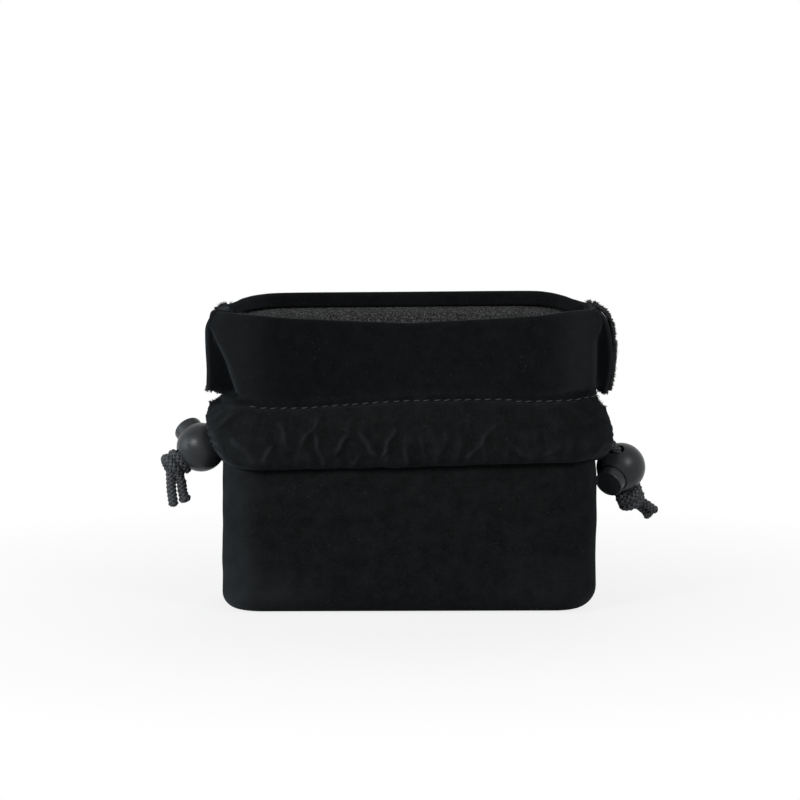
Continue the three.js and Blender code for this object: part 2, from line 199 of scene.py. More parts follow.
def unevenness(places, grain, seed=0.0):
    """Smooth random values from about -1 to 1, one for each place."""
    shift = Vector((seed, 0, 0))
    return np.array([noise.noise(Vector(place) / grain + shift) for place in places])


def outward_of(places, closed=False):
    """Outward directions in plan along places that run anticlockwise."""
    if closed:
        along = np.roll(places, -1, axis=0) - np.roll(places, 1, axis=0)
    else:
        along = np.gradient(places, axis=0)
    out = np.stack([along[:, 1], -along[:, 0]], axis=1)
    return out / np.linalg.norm(out, axis=1, keepdims=True)


def directions_along(line):
    """Directions along a line, at each of its points."""
    along = np.gradient(line, axis=0)
    return along / np.linalg.norm(along, axis=1, keepdims=True)


def circle_steps(count):
    """Angles of evenly spaced places round a circle."""
    return np.linspace(0, 2 * math.pi, count + 1)[:-1]


def ring_round(centre, first, second, angles):
    """Corners round a centre, at angles that turn from the first of two radii towards the second."""
    return [centre + first * math.cos(a) + second * math.sin(a) for a in angles]


# Meshes
def new_piece(name, corners, faces, material):
    mesh = bpy.data.meshes.new(name)
    mesh.from_pydata((np.asarray(corners) * MM).tolist(), [], faces)
    mesh.materials.append(material)
    mesh.polygons.foreach_set("use_smooth", [True] * len(mesh.polygons))
    piece = bpy.data.objects.new(name, mesh)
    bpy.context.scene.collection.objects.link(piece)
    return piece


def set_values(piece, name, values):
    """One value for each corner of a mesh, which its material reads by name."""
    piece.data.attributes.new(name, "FLOAT", "POINT").data.foreach_set("value", values)


def grid_faces(rows, columns, closed=False, first=0):
    """Faces between rows of corners. A closed row joins its last column to its first."""
    last = columns if closed else columns - 1
    faces = []
    for j in range(rows - 1):
        for i in range(last):
            k = (i + 1) % columns
            a, b = first + j * columns, first + (j + 1) * columns
            faces.append((a + i, a + k, b + k, b + i))
    return faces


def close_with_pole(corners, faces, count, height):
    """Closes a round skin in the middle of its first row, which has count corners."""
    pole = len(corners)
    faces = faces + [(pole, (i + 1) % count, i) for i in range(count)]
    return np.concatenate([corners, [[0, 0, height]]]), faces


def select_only(piece):
    bpy.ops.object.select_all(action="DESELECT")
    bpy.context.view_layer.objects.active = piece
    piece.select_set(True)


def apply_modifiers(piece):
    select_only(piece)
    for modifier in list(piece.modifiers):
        bpy.ops.object.modifier_apply(modifier=modifier.name)
    piece.select_set(False)


def thicken(piece, thickness):
    """Gives a sheet its thickness, on the side that its faces look away from."""
    solidify = piece.modifiers.new("thickness", "SOLIDIFY")
    solidify.thickness = thickness * MM
    solidify.offset = -1
    apply_modifiers(piece)


def merge_doubles(piece):
    """Joins corners that lie closer together than a hundredth of a millimetre."""
    distance = 0.01 * MM
    mesh = bmesh.new()
    mesh.from_mesh(piece.data)
    bmesh.ops.remove_doubles(mesh, verts=mesh.verts, dist=distance)
    mesh.to_mesh(piece.data)
    mesh.free()


class Parts:
    """Gathers corners and faces of many small closed forms for one piece."""

    def __init__(self):
        self.corners = []
        self.faces = []
        self.unshaded = []

    def add(self, rings, unshaded=0.0):
        """A tube through rings of corners, closed at both ends, with one value, or one a corner, that the
        cord's material turns into painted shade where it is low.
        """
        first = len(self.corners)
        count, sides = len(rings), len(rings[0])
        for ring in rings:
            self.corners.extend(ring)
        self.unshaded.extend(np.broadcast_to(unshaded, (count, sides)).ravel())
        self.faces.extend(grid_faces(count, sides, closed=True, first=first))
        self.faces.append(tuple(range(first + sides - 1, first - 1, -1)))
        end = first + (count - 1) * sides
        self.faces.append(tuple(range(end, end + sides)))

    def made_into(self, name, material):
        return new_piece(name, self.corners, self.faces, material)


# Materials
def material_with(name, **sockets):
    made = bpy.data.materials.new(name)
    made.use_nodes = True
    shader = made.node_tree.nodes["Principled BSDF"]
    for socket, value in sockets.items():
        shader.inputs[socket.replace("_", " ")].default_value = value
    return made, made.node_tree, shader


def add_node(tree, kind, **inputs):
    node = tree.nodes.new(kind)
    for socket, value in inputs.items():
        node.inputs[socket.replace("_", " ")].default_value = value
    return node


def object_noise(tree, grain, detail, roughness=0.5):
    """Noise on Object coordinates, with grains of about the given size in millimetres."""
    place = tree.nodes.new("ShaderNodeTexCoord")
    cloud = add_node(tree, "ShaderNodeTexNoise", Scale=1 / (grain * MM), Detail=detail, Roughness=roughness)
    tree.links.new(place.outputs["Object"], cloud.inputs["Vector"])
    return cloud.outputs["Fac"]


def attribute(tree, name):
    """The value that the mesh holds under this name at each corner."""
    node = tree.nodes.new("ShaderNodeAttribute")
    node.attribute_name = name
    return node.outputs["Fac"]


def ramp(tree, source, *stops):
    """A colour ramp from (position, colour) stops."""
    node = tree.nodes.new("ShaderNodeValToRGB")
    tree.links.new(source, node.inputs["Fac"])
    elements = node.color_ramp.elements
    while len(elements) < len(stops):
        elements.new(0.5)
    for element, (position, colour) in zip(elements, stops):
        element.position = position
        element.color = (*colour, 1)
    return node.outputs["Color"]


def paint(tree, shader, source, *stops):
    """Colours a shader by a ramp."""
    tree.links.new(ramp(tree, source, *stops), shader.inputs["Base Color"])


def mixed(tree, factor, first, second):
    node = tree.nodes.new("ShaderNodeMix")
    node.data_type = "RGBA"
    tree.links.new(factor, node.inputs["Factor"])
    tree.links.new(first, node.inputs[6])
    tree.links.new(second, node.inputs[7])
    return node.outputs[2]


def bump(tree, shader, source, strength, distance, under=None):
    node = add_node(tree, "ShaderNodeBump", Strength=strength, Distance=distance * MM)
    tree.links.new(source, node.inputs["Height"])
    if under:
        tree.links.new(under.outputs["Normal"], node.inputs["Normal"])
    tree.links.new(node.outputs["Normal"], shader.inputs["Normal"])
    return node


def flat_colour(tree, *colour):
    node = tree.nodes.new("ShaderNodeRGB")
    node.outputs[0].default_value = (*colour, 1)
    return node.outputs[0]


def velvet_material():
    """Short black pile: nearly black from above, blue-grey sheen at the edges, flecked, with painted sheen
    and painted shade.
    """
    made, tree, shader = material_with(
        "black_velvet",
        Roughness=1.0,
        Specular_IOR_Level=0.0,
        Sheen_Weight=0.06,
        Sheen_Roughness=0.45,
        Sheen_Tint=(0.78, 0.89, 1.0, 1),
    )
    patches = object_noise(tree, 4.5, detail=6, roughness=0.72)
    pile = ramp(tree, patches, (0.3, (0.0035, 0.0039, 0.004)), (0.68, (0.0082, 0.009, 0.0092)))
    tips = ramp(tree, object_noise(tree, 0.5, detail=3, roughness=0.8), (0.5, (0, 0, 0)), (0.78, (1, 1, 1)))
    pile = mixed(tree, tips, pile, flat_colour(tree, 0.012, 0.0125, 0.0125))
    # Painted shade in the collar's hollows and inside its rim, and a darker tone on its panel
    pile = mixed(tree, attribute(tree, "collar_darkening"), pile, flat_colour(tree, 0.0023, 0.0026, 0.0028))
    # Painted sheen: a lighter pile on crests and folds and on sides that face the light, from the mesh's
    # values
    pile = mixed(tree, attribute(tree, "painted_sheen"), pile, flat_colour(tree, 0.0186, 0.0205, 0.0222))
    lint = ramp(tree, object_noise(tree, 0.7, detail=2), (0.7, (0, 0, 0)), (0.77, (1, 1, 1)))
    pile = mixed(tree, lint, pile, flat_colour(tree, 0.026, 0.0255, 0.024))
    tree.links.new(pile, shader.inputs["Base Color"])
    soft = bump(tree, shader, object_noise(tree, 4, detail=4), 0.5, 0.9)
    bump(tree, shader, object_noise(tree, 0.35, detail=2), 0.6, 0.3, under=soft)
    return made


def raw_cloth_material():
    """Cut edges, where the mottled back of the cloth shows"""
    made, tree, shader = material_with("raw_cloth", Roughness=0.95, Specular_IOR_Level=0.1)
    mottled = object_noise(tree, 0.7, detail=3, roughness=0.75)
    stops = (0.35, (0.01, 0.01, 0.011)), (0.55, (0.026, 0.026, 0.028)), (0.75, (0.08, 0.078, 0.08))
    paint(tree, shader, mottled, *stops)
    bump(tree, shader, mottled, 0.9, 0.5)
    return made


def lining_material():
    """Grey felt lining with light specks"""
    made, tree, shader = material_with("speckled_lining", Roughness=0.95, Specular_IOR_Level=0.1)
    specks = object_noise(tree, 0.42, detail=2, roughness=0.6)
    stops = (0.4, (0.012, 0.012, 0.012)), (0.54, (0.034, 0.035, 0.034)), (0.74, (0.105, 0.107, 0.103))
    paint(tree, shader, specks, *stops)
    bump(tree, shader, specks, 0.8, 0.4)
    return made


def thread_material():
    made, tree, shader = material_with("sewing_thread", Roughness=0.75)
    lay = object_noise(tree, 0.3, detail=1)
    paint(tree, shader, lay, (0.3, (0.009, 0.0093, 0.0095)), (0.7, (0.024, 0.0248, 0.025)))
    bump(tree, shader, lay, 0.5, 0.1)
    return made


def fibre_material():
    made, tree, shader = material_with("frayed_fibre", Roughness=0.9, Specular_IOR_Level=0.1)
    mottled = object_noise(tree, 2, detail=1)
    paint(tree, shader, mottled, (0.35, (0.005, 0.005, 0.006)), (0.7, (0.045, 0.046, 0.047)))
    return made


def cord_material():
    """Polyester braid: grey yarns, with painted shade where they dive under each other and on the core"""
    made, tree, shader = material_with("braided_cord", Roughness=0.6, Specular_IOR_Level=0.3)
    yarn = object_noise(tree, 0.5, detail=1)
    colour = ramp(tree, yarn, (0.35, (0.026, 0.029, 0.032)), (0.7, (0.055, 0.06, 0.066)))
    # Painted shade: low yarns and the core are painted nearly black
    colour = mixed(tree, attribute(tree, "unshaded"), flat_colour(tree, 0.0035, 0.0037, 0.004), colour)
    tree.links.new(colour, shader.inputs["Base Color"])
    bump(tree, shader, object_noise(tree, 0.16, detail=1), 0.5, 0.1)
    return made


def plastic_material():
    """Satin moulded plastic, a little cloudy with a fine grain"""
    made, tree, shader = material_with("lock_plastic", Specular_IOR_Level=0.4, IOR=1.33)
    cloud = object_noise(tree, 3.5, detail=3)
    paint(tree, shader, cloud, (0.3, (0.016, 0.0178, 0.0195)), (0.7, (0.0225, 0.025, 0.0275)))
    gloss = ramp(tree, cloud, (0.3, (0.29, 0.29, 0.29)), (0.7, (0.4, 0.4, 0.4)))
    tree.links.new(gloss, shader.inputs["Roughness"])
    wavy = bump(tree, shader, object_noise(tree, 1.6, detail=2), 0.2, 0.12)
    bump(tree, shader, object_noise(tree, 0.25, detail=1), 0.15, 0.06, under=wavy)
    return made


def steel_material():
    """Drawn wire, with streaks that are a little darker and smoother"""
    made, tree, shader = material_with("spring_wire", Metallic=1.0)
    drawn = object_noise(tree, 0.3, detail=2)
    paint(tree, shader, drawn, (0.3, (0.42, 0.43, 0.45)), (0.7, (0.6, 0.61, 0.63)))
    gloss = ramp(tree, drawn, (0.3, (0.22, 0.22, 0.22)), (0.7, (0.38, 0.38, 0.38)))
    tree.links.new(gloss, shader.inputs["Roughness"])
    return made


velvet = velvet_material()
raw_cloth = raw_cloth_material()
lining = lining_material()
thread = thread_material()
fibre = fibre_material()
cord_finish = cord_material()
plastic = plastic_material()
steel = steel_material()


# Plan of the bag
def half_width(height):
    neck = lerp(BODY_HALF_WIDTH, NECK_HALF_WIDTH, smooth(height, TAPER, FOLD))
    return lerp(neck, MOUTH_HALF_WIDTH, smooth(height, STITCH, FLARE))


def bag_quarter(height, inset=0.0):
    """The rounded plan below the collar, on the right side"""
    angle = np.linspace(math.pi / 2, 0, 60)
    x = PANEL + (half_width(height) - PANEL - inset) * np.cos(angle)
    y = CORNER - HALF_DEPTH - (CORNER - inset) * np.sin(angle)
    corner = np.stack([x, y], axis=1)
    return np.concatenate([[[0, corner[0, 1]]], corner, [[corner[-1, 0], 0]]])


def all_round(quarter):
    """A closed ring from its quarter"""
    half = np.concatenate([quarter, quarter[-2::-1] * (1, -1)])
    return np.concatenate([half, half[-2:0:-1] * (-1, 1)])


def both_sides(quarter_of, shares):
    """Places round a half of the bag, from a function that gives each side's quarter."""
    places = np.empty((len(shares), 2))
    for side, chosen, sign in (("left", shares < 0, -1), ("right", shares >= 0, 1)):
        places[chosen] = follow(quarter_of(side), np.abs(shares[chosen])) * (sign, 1)
    return places


# Where the collar folds at its corner: (height as a share of the collar, distance from the middle)
FOLD_LINES = {
    ("front", "left"): [(0, 52.9), (0.25, 54.9), (0.45, 56.6), (0.7, 59.6), (0.88, 61), (1, 59.5)],
    ("front", "right"): [(0, 57.8), (0.3, 57.8), (0.65, 58), (0.87, 59.2), (1, 58)],
    ("back", "left"): [(0, 55), (0.5, 57.5), (1, 59)],
    ("back", "right"): [(0, 56.5), (0.5, 58), (1, 58.5)],
}

# How much the hollow behind that fold fills out towards the rim
FILLED_CORNER = {"left": 1.0, "right": 0.45}

# Height of the rim: (share of the quarter, height)
RIMS = {
    ("front", "left"): [(0, 90.7), (0.42, 92.1), (0.61, 93.4), (0.7, 94.1), (0.8, 94.5), (1, 95)],
    ("front", "right"): [(0, 90.7), (0.46, 92.8), (0.63, 94.5), (0.72, 94.9), (0.8, 94.3), (1, 94.9)],
    ("back", "left"): [(0, 96), (0.46, 95.7), (0.57, 95.2), (0.64, 94), (0.71, 92.2), (0.8, 92.4), (1, 95)],
    ("back", "right"): [
        (0, 96), (0.45, 96.3), (0.53, 96), (0.6, 94.8), (0.65, 93.4), (0.71, 92.6), (1, 94.9),
    ],
}
RIM_CURLS = {"left": math.radians(85), "right": math.radians(56)}


def along_sides(table, face, shares):
    """Values along a half of the bag, from a table of (share, value) stops for each side."""
    values = np.empty(len(shares))
    for side, chosen in (("left", shares < 0), ("right", shares >= 0)):
        line = smooth_line(table[face, side])
        values[chosen] = np.interp(np.abs(shares[chosen]), line[:, 0], line[:, 1])
    return values


def side_value(shares, left, right):
    return np.where(shares < 0, left, right)


def rim_curl(shares, start):
    """The angle by which the rim curls inwards. It grows towards the sides, from a share on."""
    return side_value(shares, RIM_CURLS["left"], RIM_CURLS["right"]) * smooth(np.abs(shares), start, 0.94)


def fold_distance(face, side, rise):
    line = smooth_line(FOLD_LINES[face, side])
    return float(np.interp(rise, line[:, 0], line[:, 1]))


def strip_distance(side, rise):
    """Distance of the side strip from the middle. The right one bows outwards."""
    if side == "left":
        return STRIP_HALF_WIDTH
    return STRIP_HALF_WIDTH - 2.0 * (2 * rise - 0.85) ** 2


def collar_quarter(face, side, rise):
    """The collar's plan: flat, folded sharply at the corner, hollow behind it, then the side strip."""
    fold = fold_distance(face, side, rise)
    strip = strip_distance(side, rise)
    panel = [(0, -HALF_DEPTH), (20, -HALF_DEPTH), (fold - 11, -HALF_DEPTH), (fold - 3, -HALF_DEPTH - 0.1)]
    pleated = [
        (fold - 0.4, -HALF_DEPTH + 0.9),
        (fold - 0.1, -HALF_DEPTH + 3),
        (fold - 0.7, -16.5),
        (fold + 0.5, -13.4),
        (strip - 2.6, -11.4),
        (strip - 0.5, -9.6),
        (strip - 0.05, -7),
    ]
    filled = [
        (fold - 0.4, -HALF_DEPTH + 1.4),
        (fold + 1.2, -HALF_DEPTH + 3.4),
        (strip - 2.4, -17),
        (strip - 1.4, -14.5),
        (strip - 0.7, -12),
        (strip - 0.3, -9.6),
        (strip - 0.05, -7),
    ]
    fill = FILLED_CORNER[side] * float(smooth(rise, 0.72, 1))
    corner = [tuple(lerp(np.array(a), np.array(b), fill)) for a, b in zip(pleated, filled)]
    return smooth_line([*panel, *corner, (strip, 0)])


def lining_quarter(face, side, height, inset):
    """The lining's plan, which runs inside the bag and inside the collar's hollows."""
    rise = float(np.clip((height - STRIP_BOTTOM) / (SIDE_RIM - STRIP_BOTTOM), 0, 1))
    fold = fold_distance(face, side, rise)
    strip = strip_distance(side, rise)
    depth = HALF_DEPTH - inset
    stops = [
        (0, -depth),
        (20, -depth),
        (fold - 7 - inset, -depth),
        (fold - 3 - inset, 2 - depth),
        (fold - 2.2 - inset, -13.9),
        (lerp(fold, strip, 0.45) - 1.5 - inset, -9.6),
        (strip - 1.6 - inset, -7),
        (strip - inset, 0),
    ]
    shares = np.linspace(0, 1, 120)
    gathered = 1.7 * float(smooth(height, STITCH - 2, STITCH + 3))
    lower = follow(bag_quarter(min(height, STITCH), inset + gathered), shares)
    upper = follow(smooth_line(stops), shares)
    return lerp(lower, upper, float(smooth(height, STRIP_BOTTOM + 0.5, STRIP_BOTTOM + 10)))


# Lower body
def velvet_body():
    """Walls, rolled base and sewn-in bottom panel as one closed skin, tucked up under the channel."""
    shares = np.linspace(0, 1, 80)
    base = all_round(follow(bag_quarter(0), shares))
    out = outward_of(base, closed=True)
    roll = BASE_ROLL + base[:, 0] / BODY_HALF_WIDTH
    rows = []

    def add_row(places, heights):
        rows.append(np.column_stack([places, np.broadcast_to(heights, len(places))]))

    panel_edge = base - (roll + 1.1)[:, None] * out
    for size in np.linspace(0.05, 1, 14):
        add_row(panel_edge * size, GROUND)
    sewn_groove = (0.8, 0.25), (0.45, 1.0), (0.15, 0.3)
    for inset, height in sewn_groove:
        add_row(base - (roll + inset)[:, None] * out, height)
    for angle in np.linspace(math.pi / 2, 0, 10):
        inset = roll * (1 - math.cos(angle))
        add_row(base - inset[:, None] * out, roll * (1 - math.sin(angle)))
    wall_rows = 38
    wall_foot, wall_top, side_top = 9, 50, 65.5
    for rise in np.linspace(0, 1, wall_rows + 1)[1:]:
        places = all_round(follow(bag_quarter(lerp(wall_foot, wall_top, rise)), shares))
        at_side = smooth(-np.abs(places[:, 1]), -14, -9)
        add_row(places, lerp(roll, lerp(wall_top, side_top, at_side), rise))
    corners = np.concatenate(rows)
    count = len(base)
    out_of = np.tile(np.column_stack([out, np.zeros(count)]), (len(rows), 1))
    height = corners[:, 2]
    wall = smooth(height, 1, 9)
    waves = 0.45 * unevenness(corners, 17) + 0.18 * unevenness(corners, 6, seed=5.0)
    dent_place, dent_width, dent_depth = -54, 2.2, 0.9
    dent = -dent_depth * np.exp(-(((corners[:, 0] - dent_place) / dent_width) ** 2))
    dent = dent * smooth(height, 8, 16) * smooth(-height, -42, -32) * (corners[:, 1] < 0)
    crown_across = np.cos(np.clip(corners[:, 0] / 60, -1, 1) * math.pi / 2)
    crown = 0.7 * crown_across * np.sin(np.clip(height / FOLD, 0, 1) * math.pi)
    push = wall * (waves + dent + crown)
    corners = corners + out_of * push[:, None]
    faces = grid_faces(len(rows), count, closed=True)
    corners, faces = close_with_pole(corners, faces, count, GROUND)
    piece = new_piece("velvet_body", corners, faces, velvet)
    x, y, z = corners.T
    # Painted light: the front is painted lighter along its left edge and at its lower left, as if lit from
    # the left, and a little on the right
    in_front = smooth(-y, 8, 14)
    left = in_front * (0.5 * smooth(-x, 44, 57) + 0.3 * smooth(-x, 20, 44) * smooth(-z, -22, -4))
    right = in_front * (0.12 * smooth(x, 46, 57) + 0.2 * smooth(x, 15, 44) * smooth(-z, -22, -4))
    patchy = 1 + 0.5 * unevenness(corners, 5, seed=9.0)
    set_values(piece, "painted_sheen", np.clip((left + right) * patchy, 0, 1))
    thicken(piece, BODY_CLOTH)
    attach(piece, "bag")
    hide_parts("front_shell", "back_shell", "base_panel")


# Channel, collar, rim and inner band, as one sheet for the front and one for the back

# Heights of the stitches and of the channel's fold: (share of the quarter, height)
STITCH_HEIGHTS = {
    ("front", "left"): [
        (0, 66.6), (0.16, 65.9), (0.28, 65.2), (0.46, 64.3), (0.6, 64.3), (0.7, 65.1), (1, 65.1),
    ],
    ("front", "right"): [(0, 66.6), (0.37, 67), (0.46, 66.4), (0.66, 66.7), (0.76, 67.2), (1, 66.4)],
    ("back", "left"): [(0, 65.4), (0.5, 65), (1, 65.3)],
    ("back", "right"): [(0, 65.4), (0.5, 65.6), (1, 65.3)],
}
CHANNEL_BOTTOMS = {
    ("front", "left"): [(0, 46.2), (0.3, 45.8), (0.65, 45.2), (0.8, 45.5), (1, 46)],
    ("front", "right"): [(0, 46.2), (0.4, 47.2), (0.75, 47.6), (0.85, 46.6), (1, 47)],
    ("back", "left"): [(0, 45.6), (0.5, 45.9), (1, 46.5)],
    ("back", "right"): [(0, 45.6), (0.5, 45.2), (1, 46.5)],
}
CUT_ABOVE_STITCH = 2.2

# Creases where the channel is gathered: top and bottom (distance to the right, height), and strength
CREASES = [
    ((-52.6, 64.8), (-55.4, 58.4), 1.0),
    ((-51.8, 55.2), (-46.8, 48.1), 0.9),
    ((-42.5, 53.3), (-44.7, 48.1), 0.7),
    ((-40.1, 60.2), (-36.7, 52.1), 0.6),
    ((-27.5, 62.0), (-34.2, 52.7), 0.6),
    ((-29.2, 56.5), (-26.2, 46.8), 0.9),
    ((-18.2, 61.7), (-18.9, 56.6), 0.5),
    ((-18.9, 56.6), (-23.1, 50.9), 1.0),
    ((-15.4, 57.2), (-9.9, 49.9), 0.9),
    ((-15.8, 50.4), (-17.6, 46.6), 0.7),
    ((-4.5, 58.4), (-8.4, 50.2), 1.0),
    ((-6.4, 50.2), (-6.9, 47.4), 0.5),
    ((-1.1, 52.6), (-0.8, 47.2), 0.6),
    ((3.0, 55.8), (5.4, 49.2), 0.5),
    ((26.7, 60.4), (18.0, 49.0), 0.7),
    ((12.0, 58.0), (9.5, 50.5), 0.3),
    ((31.4, 54.5), (35.6, 49.8), 0.5),
    ((41.0, 50.0), (46.5, 53.5), 0.35),
    ((57.0, 61.2), (51.5, 59.4), 0.5),
]


def crease_field(along, height):
    """Closeness to the creases, for thin ridges and for the wider folds that they crown."""
    thin = np.zeros(len(along))
    wide = np.zeros(len(along))
    for (top_x, top_z), (low_x, low_z), strength in CREASES:
        way = np.array([low_x - top_x, low_z - top_z])
        span = np.hypot(*way)
        way = way / span
        beside = (along - top_x) * way[1] - (height - top_z) * way[0]
        beside = beside + 0.35 * np.sin((height - top_z) * 0.9 + top_x)
        down = (along - top_x) * way[0] + (height - top_z) * way[1]
        ends = smooth(down, -1.2, 1.2) * smooth(-down, -span - 1.2, -span + 1.2)
        thin = np.maximum(thin, strength * ends * np.exp(-((beside / 0.5) ** 2)))
        wide += strength * ends * (np.exp(-((beside / 1.3) ** 2)) - 0.55 * np.exp(-((beside / 3.2) ** 2)))
    return thin, wide


def gathers(face, along, height):
    """How far the gathered cloth of the channel stands out, and how much painted sheen it gets there.

    Towards its ends the cloth is pulled into rays that run to the opening of the cord.
    """
    mirrored = along if face == "front" else -along
    thin, wide = crease_field(mirrored, height)
    places = np.column_stack([along, height, np.full(len(along), 3.0 if face == "front" else 9.0)])
    stretched = places * (1, 0.45, 1)
    puckers = unevenness(stretched, 2.4, seed=7.0)
    soft = 0.4 * puckers + 0.5 * unevenness(places, 5.5, seed=8.0)
    middle = smooth(height, FOLD, FOLD + 2) * smooth(-height, -STITCH + 1, -STITCH + 4)
    gathered = smooth(height, FOLD, FOLD + 3) * smooth(-height, -STITCH + 4, -STITCH + 12)
    opening_distance, opening_height = 74, 51
    turned = np.arctan2(height - opening_height, np.abs(along) - opening_distance)
    rays = np.sin(turned * 30 + 2 * unevenness(places, 4, seed=4.0))
    at_end = smooth(np.abs(along), 55, 60) * smooth(-np.abs(along), -68, -65.5) * side_value(along, 1, 0.45)
    at_end = at_end * smooth(height, FOLD + 2, FOLD + 6) * smooth(-height, -STITCH + 1, -STITCH + 4)
    # Painted sheen on the crests and folds of the gathers, on the rays at the ends, and more towards both
    # ends
    painted_sheen = 0.45 * middle * thin + 0.4 * gathered * np.clip(wide + puckers, 0, 1)
    painted_sheen = painted_sheen + at_end * (0.2 + 0.3 * np.clip(rays, 0, 1))
    painted_sheen = painted_sheen + 0.14 * gathered * smooth(np.abs(along), 30, 58)
    return middle * (0.45 * thin + 1.05 * wide + soft) + 0.38 * at_end * rays, np.clip(painted_sheen, 0, 1)


def channel_sheet(face, shares):
    """Corners of the channel row by row, from the tuck behind its fold up to the cut above the stitches,
    with the painted sheen at each."""
    out_share = smooth(np.abs(shares), 0.6, 0.86)
    lip = smooth(np.abs(shares), SNIP, CHANNEL_END)
    lip_drop = 0.0 if face == "front" else 3.2
    lip_height = side_value(shares, 64.4, 63.0) - lip_drop
    lip_offset = side_value(shares, 4.9, 3.9)
    bulge = lerp(BULGE - 0.4, side_value(shares, 5.8, 6.35), out_share)
    peak = lerp((FOLD + STITCH) / 2 - 1.5, side_value(shares, 60, 52.8), out_share)
    fullness = lerp(0.55, side_value(shares, 2.1, 1.15), out_share)
    along = shares * QUARTER_LENGTH
    flat = np.zeros(len(shares))
    bottom = along_sides(CHANNEL_BOTTOMS, face, shares)
    bottom = bottom + 0.3 * unevenness(np.column_stack([along, flat, flat]), 6, seed=2.0)
    seam = lerp(along_sides(STITCH_HEIGHTS, face, shares), lip_height - 1.2, lip)
    top = lerp(seam + CUT_ABOVE_STITCH, lip_height, lip)
    profile = []
    for share in np.linspace(0, 1, 5):
        profile.append((lerp(-0.4, 0.1, share) + flat, bottom + lerp(5, 0.7, share)))
    for angle in np.radians(np.linspace(-90, 0, 24)):
        outward = bulge * max(math.cos(angle), 0) ** fullness
        profile.append((np.maximum(outward, 0.3), lerp(peak, bottom, -math.sin(angle))))
    for angle in np.radians(np.linspace(0, 84, 20)[1:]):
        fullest = lerp(math.cos(angle), 1 - math.sin(angle) ** 1.8, out_share)
        outward = lerp(np.maximum(0.7 * out_share, lip * lip_offset), bulge, fullest)
        profile.append((outward, lerp(peak, seam - 0.2, math.sin(angle))))
    for outward, rise in ((0.1, 0.0), (0.35, 0.35), (0.75, 0.7), (0.9, 1.0)):
        level = lerp(outward, 0.9, out_share)
        profile.append((np.maximum(level, lip * lip_offset), lerp(seam, top, rise)))
    rows = []
    painted_sheen = []
    for outward, height in profile:
        middle = float(np.mean(height))
        places = both_sides(lambda side: bag_quarter(min(middle, STITCH)), shares)
        out = outward_of(places)
        push, row_painted_sheen = gathers(face, along, height)
        outward = outward + push * smooth(outward, 0.4, 2.5)
        rows.append(np.column_stack([places + outward[:, None] * out, height]))
        painted_sheen.append(row_painted_sheen)
    return np.array(rows), np.array(painted_sheen)


def collar_sheet(face, shares):
    """Corners of the collar row by row, from the cut up to the rim, over it and down the inner band,
    with the painted sheen at each."""
    beyond = smooth(np.abs(shares), SNIP, SNIP + 0.04)
    along = shares * QUARTER_LENGTH
    flat = np.zeros(len(shares))
    seam_cut = along_sides(STITCH_HEIGHTS, face, shares) + CUT_ABOVE_STITCH
    ragged = 0.35 * unevenness(np.column_stack([along, flat, flat]), 0.9)
    cut = lerp(seam_cut, STRIP_BOTTOM + side_value(shares, 0.2, -0.8) + ragged, beyond)
    rim = along_sides(RIMS, face, shares) - RIM_ROLL
    curl = rim_curl(shares, 0.76)
    straight = rim - CURL_RADIUS * np.sin(curl) - cut
    length = straight + CURL_RADIUS * curl
    below = both_sides(lambda side: bag_quarter(STITCH), shares)
    below = below + 0.9 * outward_of(below)
    rows = []
    painted_sheen = []

    def add_row(rise, inward, height):
        folded = both_sides(lambda side: collar_quarter(face, side, rise), shares)
        hold = (1 - beyond) * (1 - smooth(rise, 0, 0.07))
        places = lerp(folded, below, hold[:, None])
        out = outward_of(places)
        rows.append(np.column_stack([places - inward[:, None] * out, height]))
        folds = [fold_distance(face, side, rise) for side in ("left", "right")]
        strips = [strip_distance(side, rise) for side in ("left", "right")]
        from_middle = np.abs(places[:, 0])
        from_fold = from_middle - side_value(shares, *folds)
        from_strip = from_middle - side_value(shares, *strips)
        on_panel = places[:, 1] < 2 - HALF_DEPTH
        # Painted sheen along the fold's crest, on the panel towards its corners, and along the side strip's
        # edge
        crest = 0.5 * (1 - smooth(rise, 0.6, 0.9)) * np.exp(-(((from_fold + 0.5) / 0.7) ** 2))
        panel = on_panel * (crest + 0.3 * smooth(from_middle, 40, 54))
        hem = (~on_panel & (places[:, 1] < -5)) * 0.5 * np.exp(-(((from_strip + 0.7) / 0.55) ** 2))
        painted_sheen.append(np.clip(panel + hem, 0, 1))

    for rise in np.linspace(0, 1, 26):
        way = rise * length
        turn = np.clip((way - straight) / CURL_RADIUS, 0, curl)
        inward = CURL_RADIUS * (1 - np.cos(turn))
        height = cut + np.minimum(way, straight) + CURL_RADIUS * np.sin(turn)
        dents = 0.4 * smooth(rise, 0, 0.3)
        places = np.column_stack([along, height, np.full(len(shares), 30.0 if face == "front" else 60.0)])
        add_row(rise, inward + dents * unevenness(places, 12), height)
    edge_in, edge_height = inward, height
    up = (-np.sin(curl), np.cos(curl))
    across = (-np.cos(curl), -np.sin(curl))
    for turn in np.linspace(0, math.pi, 8)[1:]:
        over = RIM_ROLL * (1 - math.cos(turn))
        rise = RIM_ROLL * math.sin(turn)
        add_row(1, edge_in - over * across[0] - rise * up[0], edge_height + over * across[1] + rise * up[1])
    over = 2 * RIM_ROLL
    for drop in np.linspace(0, RIM_BAND, 5)[1:]:
        add_row(1, edge_in - over * across[0] + drop * up[0], edge_height + over * across[1] - drop * up[1])
    return np.array(rows), np.array(painted_sheen)


CORE = np.linspace(-SNIP, SNIP, 321)


def with_ends(limit, count):
    """Shares across a half of the bag: the core, and more columns beyond the snips."""
    beyond = np.linspace(SNIP, limit, count)[1:]
    return np.concatenate([-beyond[::-1], CORE, beyond])


CHANNEL_SHARES = with_ends(CHANNEL_END, 14)
COLLAR_SHARES = with_ends(1.0, 27)


